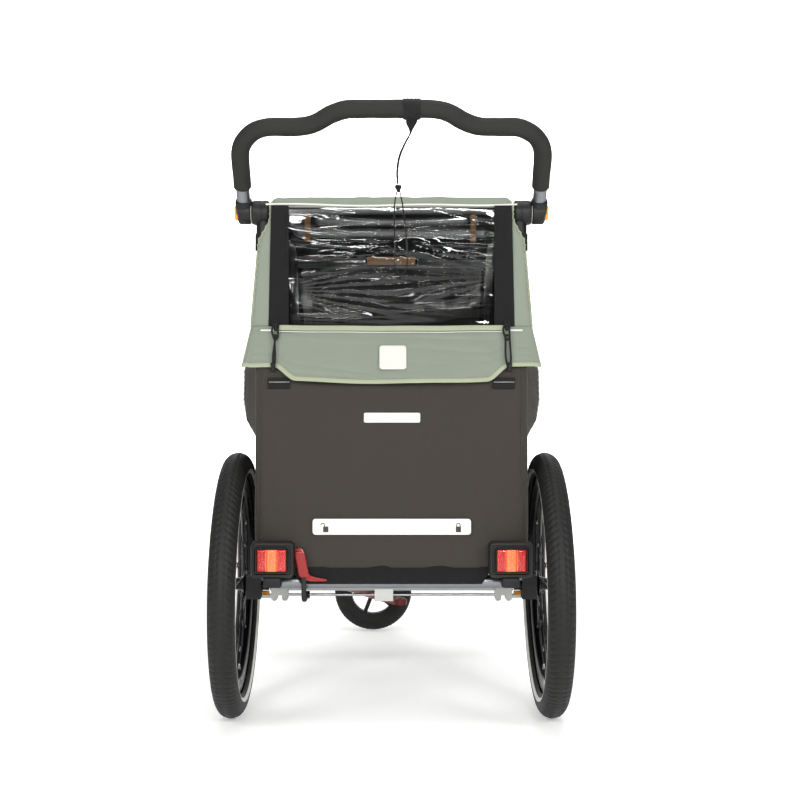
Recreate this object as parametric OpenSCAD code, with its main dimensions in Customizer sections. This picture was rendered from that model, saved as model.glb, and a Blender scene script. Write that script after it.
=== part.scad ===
// Child bicycle trailer in stroller form: a fabric cabin on a tubular frame, two sprung spoked wheels,
// a swivelling front wheel, a pivoting handlebar and a tow arm stowed under the floor.
// Millimetres. +X is right seen from behind, +Y is forward, +Z is up, and the wheels stand on z = 0.
// The origin is on the ground below the centre of the box around the whole trailer.

/* [Rear wheels] */
// Outer radius of a tyre
wheel_r = 250; // [200:5:300]
// Width of a tyre
tyre_w = 49; // [35:1:60]
// Thickness of the tyre's wall
tyre_wall = 3.5; // [2:0.5:6]
// Width of a rim
rim_w = 25; // [18:1:32]
// Depth of a rim
rim_depth = 18; // [12:1:30]
// How far each wheel leans in at its top, in degrees
camber = 0.86; // [0:0.02:2]
// Distance from a floor rail's middle out to the wheel's middle
wheel_out = 84; // [80:1:110]
// Spokes in a wheel
spokes = 20; // [12:2:36]
// Radius of an axle
axle_r = 6; // [5:0.5:8]

/* [Frame] */
// Distance from the middle plane to the middle of a floor rail
rail_x = 212; // [170:1:300]
// Diameter of rails and cross tubes
tube_d = 25; // [20:1:30]
// Diameter of the folding posts
post_d = 20; // [16:1:25]
// Height of the rails above the axles
rail_rise = 44; // [40:1:70]
// Length of the rails behind the axles
rail_back = 105; // [95:1:140]
// Length of the rails ahead of the axles
rail_front = 600; // [520:5:760]
// Diameter of the roof bows
bow_d = 20; // [16:1:22]
// Height of the handlebar pivots above the rails
post_h = 654; // [540:2:800]
// Distance that a post's top is ahead of its foot
post_lean = 18; // [0:1:40]
// Radius of the pins that the folding frame turns on
pin_r = 6; // [4:0.5:7]

/* [Handlebar] */
// Lean of the handlebar back from upright, in degrees
bar_tilt = 39; // [10:1:60]
// Length from the pivot to the middle of the top bar
bar_l = 211; // [180:1:280]
// Drop from the top bar to its shoulders
bar_drop = 35; // [10:1:45]
// Half the width of the top bar's straight middle
bar_flat = 64; // [40:1:110]
// Sideways run of each shoulder's bend
bar_run = 108; // [60:1:120]
// Bend radius at the corners
bar_corner = 60; // [45:1:70]
// Outer diameter of the foam
foam_d = 33; // [30:1:40]
// Travel of a release button
button_travel = 3; // [1:0.5:4]

/* [Front wheel] */
// Radius of the front wheel
caster_r = 100; // [75:1:110]
// Width of the front wheel
caster_w = 45; // [30:1:55]
// Distance from the front cross tube to the swivel
caster_ahead = 345; // [300:5:420]
// Trail of the wheel behind the swivel
caster_trail = 48; // [30:1:60]
// Radius of the swivel stem
stem_r = 8; // [6:0.5:10]

/* [Cabin] */
// Thickness of fabric walls
cloth = 3; // [2:0.5:4]
// Distance that the side walls stand out from the rails
side_out = 28; // [27:1:34]
// Height of the roof above the handlebar pivots
roof_rise = 18; // [10:1:40]
// Distance that the elbow pockets stand out from the side walls
elbow_out = 50; // [20:1:60]
// Half the width of the rear window
window_half = 197; // [120:1:200]
// Thickness of the seat pads
pad_t = 28; // [15:1:40]

/* [Tow arm] */
// Length of the tow arm from its pivot to the hitch hole
tow_l = 543; // [440:1:550]
// Outer diameter of the tow arm
tow_d = 22; // [18:1:26]
// Radius of the hitch pin hole
hitch_r = 4.1; // [3:0.1:6]

/* [Hidden] */
$fn = 64;

// Fits
running = 0.05;
snug = 0.02;
gap = 1;
collar = 0.3;

// Heights and lengths, all from the axles
tyre_mid = wheel_r - tyre_w / 2;
axle_z = tyre_mid * cos(camber) + tyre_w / 2;
rail_z = axle_z + rail_rise;
tube_r = tube_d / 2;
bow_r = bow_d / 2;
post_r = post_d / 2;
caster_y = rail_front + caster_ahead;
axle_y = (wheel_r - caster_y - caster_w / 2 - 5) / 2;

// Rear wheels
wheel_x = rail_x + wheel_out;
bead_r = tyre_mid - sqrt(pow(tyre_w / 2, 2) - 100);
rim_out = bead_r - 0.6;
rim_in = rim_out - rim_depth;
flange_r = 26;
flange_x = 17;
hub_half = 20;
spoke_r = 1;
receiver_in = 35 - wheel_out;
button_r = 4;
button_deep = 12;

// Suspension
arm_pivot_y = 95;
arm_pivot_z = rail_z - 24;
stub_in = rail_x + 21;
beam_end = stub_in - 2;
beam_r = 10;

// Folding frame
post_x = rail_x + tube_r + post_r + gap;
post_y = 25 - rail_back;
hub_z = rail_z + post_h;
hub_y = post_y + post_lean;
hub_in = post_x - post_r + 0.5;
hub_w = 34;
hub_r = 23;
post_foot = [post_x, post_y, rail_z];
post_top = [post_x, hub_y, hub_z - 25];
hoop_bar = [hub_y - 8, hub_z + 4];
hoop_bar_r = 9;
bow_pivot = [rail_front - 12, rail_z + 30];
knee_y = rail_front - 300;
bow_corner = 90;

// Handlebar
leg_x = hub_in + hub_w + gap + 12;
bar_foot = 16;
socket_w = 24;
bar_r = 12.5;
foam_r = foam_d / 2;
join = 8;
shoulder = atan(bar_drop / (bar_run + join));
shoulder_r = (bar_run - join * cos(2 * shoulder)) / (2 * sin(2 * shoulder));
leg_l = bar_l - bar_drop - bar_corner;
shoulder_l = leg_x - bar_corner - bar_flat - bar_run;
foam_from = 52;

// Cabin, as distances from the axles and the rails
wall_x = rail_x + side_out;
roof_z = hub_z + roof_rise;
back_y = hub_y - 26;
panel_y = -rail_back - tube_r - 0.5;
roof_front = knee_y;
flap_top = rail_z + 441;
panel_top = flap_top - 75;
nose_y = rail_front + 45;
roof_line = [[back_y, roof_z], [roof_front - 200, roof_z + 12], [roof_front, roof_z + 2]];
front_line = [
    [roof_front + 1, roof_z + 2], [roof_front + 45, roof_z - 16], [roof_front + 100, roof_z - 90],
    [nose_y, rail_z + 130], [nose_y + 10, rail_z]
];
front_window_low = [-window_half, roof_front + 60, rail_z + 180];
front_window_high = [window_half, nose_y + 40, roof_z - 70];
elbow_y = [5, 400];
elbow_low = 2 * wheel_r - rail_z - 28;
elbow_line = [
    [0, elbow_low], [elbow_out - 34, elbow_low + 38], [elbow_out - 10, elbow_low + 72], [elbow_out, elbow_low + 120],
    [elbow_out - 2, elbow_low + 185], [elbow_out - 20, elbow_low + 250], [0, elbow_low + 298]
];
side_window_y = [40, roof_front - 20];
side_window_z = [rail_z + elbow_low + 312, roof_z - 62];
bay_x = rail_x - tube_r - 4;

// Brake
rod_y = -60;
rod_z = axle_z - 12;
rod_r = 2.5;

// Front wheel
crown_z = 2 * caster_r + 14;
head_z = [crown_z + 20, crown_z + 85];
carrier_r = 15;
fork_in = caster_w / 2 + 4;
fork_t = 7;

// Tow arm
tow_pivot = [-rail_x - 13, rail_front - 10, axle_z - 50];
tow_turn = -63.5;

// Wrist strap: the hanging route as [x, drop below the top bar's middle], then the loop below its knot
strap_x = 36;
strap_r = 2.2;
strap_lead = [[35, -18], [33, -42], [23, -62], [14, -84], [10, -110], [11, -132]];
strap_loop = [
    [9, -146], [5, -172], [5, -205], [6, -240], [6, -266], [9, -283], [17, -292], [25, -283],
    [28, -266], [27, -240], [24, -205], [20, -172], [15, -146]
];

// ---- Helpers ----

// Places children in the frame whose Y is counted from the axles
module from_axle() {
    translate([0, axle_y, 0]) children();
}

// Draws children on the right as given, or mirrored on the left
module on_side(side) {
    if (side > 0) children();
    else mirror([1, 0, 0]) children();
}

// Draws children on both sides
module both_sides() {
    on_side(1) children();
    on_side(-1) children();
}

// Round bar between two points
module rod(p, q, r) {
    d = q - p;
    l = norm(d);
    translate(p) rotate([0, acos(d[2] / l), atan2(d[1], d[0])]) cylinder(h = l, r = r);
}

// Round bar along X
module bar_x(x0, x1, y, z, r) {
    translate([x0, y, z]) rotate([0, 90, 0]) cylinder(h = x1 - x0, r = r);
}

// Box from one corner to the other
module box(a, b) {
    translate(a) cube(b - a);
}

// Bend of a tube: starts upward at the origin and turns towards +X, trimmed a little inside its collars
module bend(r, radius, angle) {
    trim = 0.5 / radius * 180 / PI;
    translate([radius, 0, 0]) rotate([90, 0, 0]) rotate([0, 0, 180 - angle + trim])
        rotate_extrude(angle = angle - 2 * trim) translate([radius, 0]) circle(r = r);
}

// Bent tube in the XZ plane from steps of [straight length, bend radius, bend angle]: it starts upward at the
// origin, a positive angle bends towards +X, and the last step is a straight
function tube_frames(steps, i = 0, p = [0, 0, 0], turn = 0) = let (
    s = steps[i],
    q = p + s[0] * [sin(turn), 0, cos(turn)],
    side = len(s) > 1 ? sign(s[2]) : 0,
    centre = len(s) > 1 ? q + side * s[1] * [cos(turn), 0, -sin(turn)] : q,
    next = len(s) > 1 ? centre - side * s[1] * [cos(turn + s[2]), 0, -sin(turn + s[2])] : q
) concat([[p, turn, q]], i + 1 < len(steps) ? tube_frames(steps, i + 1, next, turn + s[2]) : []);

module bent_tube(r, steps) {
    frames = tube_frames(steps);
    for (i = [0:len(steps) - 1]) {
        s = steps[i];
        f = frames[i];
        if (s[0] > 0) translate(f[0]) rotate([0, f[1], 0]) cylinder(h = s[0], r = r);
        if (len(s) > 1) translate(f[2]) rotate([0, f[1], 0]) rotate([0, 0, s[2] < 0 ? 180 : 0])
            bend(r, s[1], abs(s[2]));
        for (k = [0:1]) if (k == 0 ? i > 0 : len(s) > 1)
            translate(f[2 * k]) rotate([0, f[1], 0]) cylinder(h = 4, r = r + collar, center = true);
    }
}

// Band of even thickness along a line of [y, z] points, between two X places
module band_x(points, t, x0, x1) {
    n = len(points);
    function along(i) = points[min(i + 1, n - 1)] - points[max(i - 1, 0)];
    function inner(i) = let (d = along(i) / norm(along(i))) points[i] + t * [d[1], -d[0]];
    translate([x0, 0, 0]) rotate([90, 0, 90]) linear_extrude(x1 - x0)
        polygon(concat(points, [for (i = [n - 1:-1:0]) inner(i)]));
}

// Flat bar with round ends along Z, in the YZ plane, from x0 to x1
module stadium_x(x0, x1, w, l) {
    translate([x0, 0, 0]) rotate([90, 0, 90]) linear_extrude(x1 - x0) {
        translate([0, l / 2 - w / 2]) circle(d = w);
        translate([0, w / 2 - l / 2]) circle(d = w);
        square([w, l - w], center = true);
    }
}

// Places children in a wheel's frame: origin at its middle, +Z outward along its axle
module in_wheel(side) {
    from_axle() on_side(side) translate([wheel_x, 0, axle_z]) rotate([0, 90 - camber, 0]) children();
}

// Places children in the handlebar's frame: origin on its pivot line, +Z up the legs
module in_handlebar(turn = 0) {
    from_axle() translate([0, hub_y, hub_z]) rotate([bar_tilt + turn, 0, 0]) children();
}

// ---- Cord along a route ----

// Route points joined by curves through them, with n steps for each stretch
function curve_point(p0, p1, p2, p3, t) = 0.5 * (
    2 * p1 + t * (p2 - p0) + t * t * (2 * p0 - 5 * p1 + 4 * p2 - p3) + t * t * t * (3 * p1 - p0 - 3 * p2 + p3)
);
function smooth_route(p, n) = concat(
    [for (i = [0:len(p) - 2]) for (k = [0:n - 1])
        curve_point(p[max(i - 1, 0)], p[i], p[i + 1], p[min(i + 2, len(p) - 1)], k / n)],
    [p[len(p) - 1]]
);

// Closed tube along points in the plane y = 0
module flat_cord(points, r, sides) {
    n = len(points);
    function heading(i) = points[min(i + 1, n - 1)] - points[max(i - 1, 0)];
    function ring(i) = let (d = heading(i) / norm(heading(i)))
        [for (k = [0:sides - 1]) let (a = 360 * k / sides)
            points[i] + r * cos(a) * [0, 1, 0] + r * sin(a) * [d[2], 0, -d[0]]];
    vertices = [for (i = [0:n - 1]) each ring(i)];
    walls = [for (i = [0:n - 2]) for (k = [0:sides - 1])
        [i * sides + k, i * sides + (k + 1) % sides, (i + 1) * sides + (k + 1) % sides, (i + 1) * sides + k]];
    start = [for (k = [sides - 1:-1:0]) k];
    end = [for (k = [0:sides - 1]) (n - 1) * sides + k];
    polyhedron(vertices, concat([start], walls, [end]));
}

// ---- Chassis ----

module floor_rail(side) {
    color("silver") from_axle() on_side(side) difference() {
        rod([rail_x, -rail_back, rail_z], [rail_x, rail_front, rail_z], tube_r);
        bar_x(rail_x - 20, rail_x + 20, rail_front, rail_z, tube_r + running);
        bar_x(rail_x - 20, rail_x + 20, post_y, rail_z, pin_r + snug);
    }
}

module rear_cross_tube() {
    color("gray") from_axle() bar_x(-rail_x - 8, rail_x + 8, -rail_back, rail_z - tube_d - 0.5, tube_r);
}

module front_cross_tube() {
    color("silver") from_axle() bar_x(-rail_x - tube_r, rail_x + tube_r, rail_front, rail_z, tube_r);
}

module axle_beam() {
    color("silver") from_axle() bar_x(-beam_end, beam_end, 0, axle_z - 3, beam_r);
}

// Rear corner moulding with a raised rim around a recess, and a foot under the rail's end
module corner_box(side) {
    w = 78;
    h = 65;
    face_y = panel_y - 30;
    low = [rail_x - 37, face_y, rail_z - 14];
    color("dimgray") from_axle() on_side(side) difference() {
        union() {
            box(low, low + [w, 26.5, h]);
            box([rail_x - 14, face_y, rail_z - 32], [rail_x + 18, panel_y - 6, rail_z - 14]);
            box([rail_x - 10, panel_y - 10, rail_z - 32], [rail_x + 10, -rail_back - tube_r - 0.5, rail_z - 22]);
        }
        box(low + [14, -1, 9], low + [w - 10, 6, h - 15]);
    }
}

// Red lens in each corner moulding, in three vertical bars
module tail_reflectors() {
    low = [rail_x - 37, panel_y - 30, rail_z - 14];
    color("red") from_axle() both_sides() for (k = [0:2])
        box(low + [14.5 + 17.5 * k, -3, 9.5], low + [31 + 17.5 * k, 5.5, 49]);
}

// Cast clamps that hang the axle beam and the swing arms' pivots from the rails, the bows' lugs and the
// brake's bracket
module frame_clamps() {
    bow_lugs();
    color("silver") from_axle() {
        both_sides() difference() {
            union() {
                box([rail_x - 15, -16, axle_z - 28], [rail_x + 16, 16, rail_z]);
                box([rail_x + 15, -8, axle_z - 26], [rail_x + 34, 8, axle_z - 20]);
                box([rail_x - 10, arm_pivot_y - 15, arm_pivot_z - 14], [rail_x + 34, arm_pivot_y + 15, rail_z - 10]);
            }
            rod([rail_x, -40, rail_z], [rail_x, arm_pivot_y + 40, rail_z], tube_r + running);
            bar_x(rail_x - 30, rail_x + 40, 0, axle_z - 3, beam_r + running);
            bar_x(rail_x - 30, rail_x + 40, arm_pivot_y, arm_pivot_z, pin_r + snug);
            box([rail_x - 4, -17, axle_z - 29], [rail_x + 5, 17, axle_z - 20]);
        }
        difference() {
            box([-31, -rail_back + 4, rod_z - 6], [3, rod_y + 8, rod_z + 20]);
            bar_x(-40, 10, rod_y, rod_z, rod_r + running);
            bar_x(-40, 10, -rail_back, rail_z - tube_d - 0.5, tube_r + running);
        }
    }
}

// Screws under the clamps and through the brake's bracket
module clamp_screws() {
    color("black") from_axle() {
        both_sides() for (x = [-9, 11]) translate([rail_x + x, 0, axle_z - 32]) cylinder(h = 4, r = 4);
        translate([-14, rod_y - 10, rod_z - 10]) cylinder(h = 4, r = 5);
    }
}

// Lugs on the rails' front ends that hold the bows' pins from inside
module bow_lugs() {
    lug_x = rail_x - bow_r - gap;
    color("silver") from_axle() both_sides() difference() {
        union() {
            box([lug_x - 7, bow_pivot[0] - 14, rail_z - 4], [lug_x, bow_pivot[0] + 10, bow_pivot[1]]);
            bar_x(lug_x - 7, lug_x, bow_pivot[0], bow_pivot[1], 13);
        }
        bar_x(lug_x - 8, lug_x + 1, bow_pivot[0], bow_pivot[1], pin_r + snug);
        rod([rail_x, 0, rail_z], [rail_x, rail_front, rail_z], tube_r + running);
        bar_x(0, rail_x, rail_front, rail_z, tube_r + running);
    }
}

// Rubber blocks that each swing arm's stub drops onto
module suspension_bumpers() {
    color("orange") from_axle() both_sides()
        box([stub_in, -7, axle_z - 20], [stub_in + 13, 7, axle_z - 14]);
}

// Pins that the posts, the bows and the swing arms turn on
module pivot_pins() {
    color("silver") from_axle() both_sides() {
        bar_x(rail_x - 16, post_x + post_r + 2, post_y, rail_z, pin_r);
        bar_x(rail_x - 5, rail_x + 50, arm_pivot_y, arm_pivot_z, pin_r);
        bar_x(rail_x - bow_r - 8, rail_x + bow_r + 6, bow_pivot[0], bow_pivot[1], pin_r);
    }
}

// Bent tubes that keep obstacles off the front of each wheel
module wheel_guards() {
    r = 8;
    corner = 25;
    turn = 60;
    from_x = rail_x + tube_r - 4;
    out_x = wheel_x + 20;
    back_l = out_x - corner - from_x;
    front_l = (out_x - corner * (1 - cos(turn)) - from_x) / sin(turn);
    color("silver") from_axle() both_sides() difference() {
        translate([from_x, wheel_r + 34, rail_z]) rotate([90, 0, 90])
            bent_tube(r, [[back_l, corner, 90], [40, corner, turn], [front_l]]);
        rod([rail_x, 0, rail_z], [rail_x, rail_front, rail_z], tube_r + running);
    }
}

// Bracket under the left rail's front end, with the pin that the tow arm swings on
module tow_bracket() {
    color("gray") from_axle() difference() {
        union() {
            translate([tow_pivot[0], tow_pivot[1], tow_pivot[2] + 14]) cylinder(h = rail_z - tow_pivot[2] - 14, r = 20);
            translate([tow_pivot[0], tow_pivot[1], tow_pivot[2] - 14]) cylinder(h = 40, r = 8);
        }
        rod([-rail_x, 0, rail_z], [-rail_x, rail_front, rail_z], tube_r + running);
        bar_x(-rail_x - 40, 0, rail_front, rail_z, tube_r + running);
    }
}

// Arm from the front cross tube to the swivel's head
module caster_carrier() {
    foot = [0, rail_front, rail_z];
    head = [0, caster_y, head_z[0] + 40];
    color("silver") from_axle() difference() {
        union() {
            rod(foot, head, carrier_r);
            translate([0, caster_y, head_z[0]]) cylinder(h = head_z[1] - head_z[0], r = 20);
            rod([0, caster_y - 40, head_z[0] + 45], [0, caster_y - 40, head_z[0] + 62], 9);
        }
        bar_x(-30, 30, rail_front, rail_z, tube_r + running);
        translate([0, caster_y, head_z[0] - 1]) cylinder(h = 60, r = stem_r + running);
    }
}

// ---- Cabin ----

module floor_pan() {
    color("dimgray") from_axle() box(
        [-bay_x, -rail_back + 62, rail_z - 10], [bay_x, rail_front - tube_r - gap, rail_z - 10 + cloth]
    );
}

// Luggage bag behind the seat: a floor and two side walls, closed at the back by the rear panel
module cargo_bag() {
    front = -rail_back + 60;
    color("dimgray") from_axle() {
        box([-bay_x, panel_y + gap, rail_z - 10], [bay_x, front, rail_z - 10 + cloth]);
        both_sides() {
            box([bay_x - cloth, panel_y + gap, rail_z - 9], [bay_x, front, panel_top - 3]);
            box([bay_x - cloth, front - 1, rail_z - 9 + cloth], [bay_x, 0, panel_top - 3]);
        }
    }
}

// Rear wall of the cargo bag, with the dark band along its foot
module rear_panel() {
    color("dimgray") from_axle() {
        box([-wall_x, panel_y - cloth, rail_z], [wall_x, panel_y, panel_top]);
        box([-rail_x + 40, panel_y - cloth + 1, rail_z - 26], [rail_x - 40, panel_y, rail_z]);
    }
}

// Outline of the side wall in the YZ plane
side_outline = [
    [hub_y + 26, rail_z + 10], [nose_y - 2, rail_z + 10], [nose_y - 12, rail_z + 128],
    [roof_front + 92, roof_z - 90], [roof_front + 40, roof_z - 22], [hub_y + 28, roof_z - 8]
];

// Thin wall that stands out around the elbows above the wheel
module side_wall(side) {
    from_axle() on_side(side) {
        difference() {
            translate([wall_x, 0, 0]) rotate([90, 0, 90]) linear_extrude(cloth) polygon(side_outline);
            box([wall_x - 1, elbow_y[0], rail_z + elbow_low + 6], [wall_x + cloth + 1, elbow_y[1], rail_z + elbow_low + 292]);
        }
        translate([wall_x, elbow_y[1], rail_z]) rotate([90, 0, 0]) linear_extrude(elbow_y[1] - elbow_y[0])
            polygon(concat(elbow_line, [for (i = [6:-1:0]) elbow_line[i] + [cloth, i > 3 ? 1 : -1]]));
        for (y = [elbow_y[0] + cloth, elbow_y[1]]) translate([wall_x, y, rail_z]) rotate([90, 0, 0])
            linear_extrude(cloth) polygon(elbow_line);
    }
}

module side_panel(side) {
    color("dimgray") difference() {
        side_wall(side);
        from_axle() on_side(side) box(
            [wall_x - 1, side_window_y[0], side_window_z[0]], [wall_x + cloth + 1, side_window_y[1], side_window_z[1]]
        );
    }
}

// Panes in the front wall and in both side walls
module cabin_windows() {
    color("lightgray", 0.5) from_axle() {
        both_sides() box(
            [wall_x + 0.5, side_window_y[0] + 0.3, side_window_z[0] + 0.3],
            [wall_x + cloth - 0.5, side_window_y[1] - 0.3, side_window_z[1] - 0.3]
        );
        intersection() {
            band_x(front_line, cloth - 1, 0.3 - window_half, window_half - 0.3);
            box(front_window_low + [0, 0, 0.3], front_window_high - [0, 0, 0.3]);
        }
    }
}

// Roof, and the surround of the rear window with its side strips
module cover() {
    half = wall_x - 4;
    color([0.6, 0.63, 0.56]) from_axle() difference() {
        cover_sheet(half);
        both_sides() bar_x(hub_in - gap, wall_x + 20, hub_y, hub_z, hub_r + gap);
    }
}

// The cover's roof band and its upright rear frame
module cover_sheet(half) {
    union() {
        band_x(roof_line, cloth, -half, half);
        translate([0, back_y + cloth, 0]) rotate([90, 0, 0]) linear_extrude(cloth) difference() {
            polygon([
                [-half, roof_z - cloth], [half, roof_z - cloth], [wall_x + 18, flap_top + 3], [-wall_x - 18, flap_top + 3]
            ]);
            translate([-window_half, flap_top + 4]) square([2 * window_half, roof_z - flap_top - 16]);
        }
    }
}

module rear_window() {
    color("lightgray", 0.5) from_axle() box(
        [-window_half + 0.3, back_y + 0.5, flap_top + 4.3], [window_half - 0.3, back_y + cloth - 0.5, roof_z - 12.3]
    );
}

// Sloping front wall with the opening for its window
module front_panel() {
    half = wall_x - 2;
    color([0.6, 0.63, 0.56]) from_axle() difference() {
        band_x(front_line, cloth, -half, half);
        box(front_window_low, front_window_high);
        rod([0, rail_front, rail_z], [0, caster_y, head_z[0] + 40], carrier_r + gap);
    }
}

// Storm flap that hangs over the top of the rear panel, with its hem cut lower in the middle
module rear_flap() {
    h = 104;
    color([0.6, 0.63, 0.56]) from_axle() translate([0, back_y - 1, flap_top]) rotate([-24, 0, 0])
        translate([0, 0, -h]) rotate([90, 0, 0]) linear_extrude(cloth) polygon([
            [-wall_x - 20, h], [wall_x + 20, h], [wall_x + 32, 34], [wall_x - 44, 30], [rail_x - 65, 0],
            [65 - rail_x, 0], [44 - wall_x, 30], [-wall_x - 32, 34]
        ]);
}

// Seat cushion on the floor pan
module seat_base() {
    color("dimgray") from_axle() box([-170, 70, rail_z + 40], [170, 360, rail_z + 40 + pad_t]);
}

// Leaning seat back with its head pad
module seat_back() {
    color("dimgray") from_axle() translate([0, 64, rail_z + 44]) rotate([10, 0, 0]) {
        box([-165, -pad_t, 0], [165, 0, 520]);
        box([-120, 0.5, 340], [120, 22, 480]);
    }
}

// Harness: shoulder and crotch straps with pads, and the buckle
module harness() {
    color("black") from_axle() {
        translate([0, 64, rail_z + 44]) rotate([10, 0, 0]) both_sides() {
            box([40, 0.5, 40], [78, 3.5, 330]);
            box([36, 4, 180], [82, 12, 320]);
        }
        box([-19, 120, rail_z + 41 + pad_t], [19, 220, rail_z + 44 + pad_t]);
        box([-28, 95, rail_z + 70 + pad_t], [28, 110, rail_z + 120 + pad_t]);
    }
}

// Rolled sunshade under the rear edge of the roof, with its two straps
module sunshade() {
    color("gray") from_axle() {
        bar_x(-150, 150, back_y + 22, roof_z - 38, 7);
        bar_x(-190, 190, back_y + 24, roof_z - 62, 9);
    }
    color("peru") from_axle() both_sides()
        box([148, back_y + 8, roof_z - 75], [158, back_y + 11, roof_z - 20]);
}

// Elastic loops that pull the flap's corners down
module flap_toggles() {
    color("black") from_axle() both_sides() {
        box([rail_x - 6, back_y - 11, flap_top - 2], [rail_x + 8, back_y - 6, flap_top + 14]);
        translate([0, back_y - 6, flap_top]) rotate([-24, 0, 0])
            box([rail_x - 8, -8, -90], [rail_x + 10, -2, 0]);
    }
}

// Pale bar on the rear panel that marks the cargo bag's lock
module label_bar() {
    half = 142;
    color("ivory") from_axle() translate([0, panel_y - cloth, rail_z + 75]) rotate([90, 0, 0]) linear_extrude(2) {
        square([2 * half - 24, 29], center = true);
        square([2 * half, 13], center = true);
        for (x = [-1, 1], z = [-1, 1]) translate([x * (half - 12), z * (6.5)]) circle(r = 8);
    }
}

// ---- Folding upper frame ----

// Two posts that turn on pins at their feet, joined by a bar at the top
module rear_hoop() {
    color("silver") from_axle() {
        both_sides() difference() {
            union() {
                rod(post_foot, post_top, post_r);
                bar_x(post_x - post_r, post_x + post_r, post_y, rail_z, 14);
            }
            bar_x(post_x - 20, post_x + 20, post_y, rail_z, pin_r + running);
        }
        bar_x(-hub_in, hub_in, hoop_bar[0], hoop_bar[1], hoop_bar_r);
    }
}

// Fixed half of a handlebar pivot, sleeved on a post's top, with the pin that the socket turns on
module pivot_hub(side) {
    color("black") from_axle() on_side(side) difference() {
        union() {
            bar_x(hub_in, hub_in + hub_w, hub_y, hub_z, hub_r);
            bar_x(hub_in + 4, hub_in + hub_w + 9, hub_y, hub_z, 8);
            translate([post_x, hub_y, hub_z - 52]) cylinder(h = 46, r = 16);
            translate([hub_in + hub_w - 4, hub_y, hub_z - 48]) cylinder(h = 23, r = 9);
            box([post_x, hub_y - 7, hub_z - 44], [hub_in + hub_w - 4, hub_y + 7, hub_z - 10]);
        }
        rod(post_foot, post_top, post_r + snug);
    }
}

// ---- Handlebar ----

// The bar's steps, with both legs shortened by the same length
function bar_steps(cut) = [
    [leg_l - cut, bar_corner, 90], [shoulder_l, shoulder_r, -2 * shoulder],
    [join, shoulder_r, 2 * shoulder], [2 * bar_flat, shoulder_r, 2 * shoulder],
    [join, shoulder_r, -2 * shoulder], [shoulder_l, bar_corner, 90], [leg_l - cut]
];

module bar_shape(r, cut) {
    translate([-leg_x, 0, cut]) bent_tube(r, bar_steps(cut));
}

module handlebar_tube() {
    color("silver") in_handlebar() bar_shape(bar_r, bar_foot);
}

module foam_grip() {
    color([0.18, 0.18, 0.18]) in_handlebar() difference() {
        bar_shape(foam_r, foam_from);
        bar_shape(bar_r + running, foam_from - 1);
    }
}

// Moving half of each pivot: a disc on the hub's pin, with a sleeve up the bar's leg
module handlebar_sockets() {
    inner = hub_in + hub_w + 0.5;
    color("black") in_handlebar() both_sides() difference() {
        union() {
            bar_x(inner, inner + socket_w, 0, 0, hub_r - 1);
            translate([leg_x, 0, 0]) cylinder(h = 28, r = 16);
        }
        bar_x(inner - 1, inner + 9, 0, 0, 8 + running);
        bar_x(inner - 8, inner, 0, 0, hub_r + gap);
        translate([leg_x, 0, bar_foot]) cylinder(h = 40, r = bar_r + snug);
        translate([0, 0, -1]) stadium_x(inner + socket_w - 8, leg_x + 18, 12.2, 30.2);
    }
}

module release_button(side) {
    face = hub_in + hub_w + 0.5 + socket_w;
    color("orange") in_handlebar() on_side(side) translate([0, 0, -1])
        stadium_x(face - 7.5 + button_travel, face + button_travel + 4.5, 12, 30);
}

// Webbing loop round the foam, with a thin cord that hangs to a knot and a wrist loop below it
module wrist_strap() {
    bar_y = hub_y - bar_l * sin(bar_tilt);
    bar_z = hub_z + bar_l * cos(bar_tilt);
    function hang(p) = [p[0], 0, p[1]];
    knot = strap_lead[len(strap_lead) - 1];
    color("black") from_axle() translate([0, bar_y, bar_z]) {
        difference() {
            bar_x(strap_x - 14, strap_x + 14, 0, 0, foam_r + 1.8);
            bar_x(strap_x - 15, strap_x + 15, 0, 0, foam_r + 0.3);
        }
        flat_cord(smooth_route([for (p = strap_lead) hang(p)], 2), strap_r, 10);
        translate([knot[0] + 1, 0, knot[1] - 14]) cylinder(h = 14, r = 6);
        flat_cord(smooth_route([for (p = strap_loop) hang(p)], 2), strap_r, 10);
    }
}

// ---- Roof bows ----

// Two bent tubes from the front of the rails up to the roof, joined by a bar at the knee
module roof_bows() {
    front_l = norm([knee_y - bow_pivot[0], roof_z - 44 - bow_pivot[1]]) - 62;
    turn = atan2(roof_z - 44 - bow_pivot[1], bow_pivot[0] - knee_y);
    color("silver") from_axle() {
        both_sides() translate([rail_x, bow_pivot[0], bow_pivot[1]]) difference() {
            union() {
                rotate([90 - turn, 0, 0]) rotate([0, 0, -90])
                    bent_tube(bow_r, [[front_l, bow_corner, turn + 3], [knee_y - hub_y - 78]]);
                bar_x(-bow_r, bow_r, 0, 0, bow_r + 3);
            }
            bar_x(-bow_r - 1, bow_r + 1, 0, 0, pin_r + running);
        }
        bar_x(bow_r - rail_x + running, rail_x - bow_r - running, knee_y + 24, roof_z - 74, 8);
    }
}

// ---- Wheels ----

// Arm from its pivot back to the receiver that holds the axle, with a stub that rests on the bumper
module swing_arm(side) {
    in_x = rail_x + 35;
    out_x = wheel_x - hub_half - gap;
    color("black") difference() {
        from_axle() on_side(side) {
            box([in_x, -25, axle_z - 26], [out_x, 25, axle_z + 16]);
            box([in_x + 1, 0, axle_z - 10], [in_x + 13, arm_pivot_y - 6, axle_z + 14]);
            bar_x(in_x + 1, in_x + 13, arm_pivot_y, arm_pivot_z, 14);
            bar_x(stub_in, in_x + 1, 0, axle_z - 3, 9);
        }
        in_wheel(side) translate([0, 0, -wheel_out - 10]) cylinder(h = wheel_out + 10, r = axle_r + snug);
        from_axle() on_side(side) bar_x(in_x, in_x + 14, arm_pivot_y, arm_pivot_z, pin_r + running);
    }
}

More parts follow.
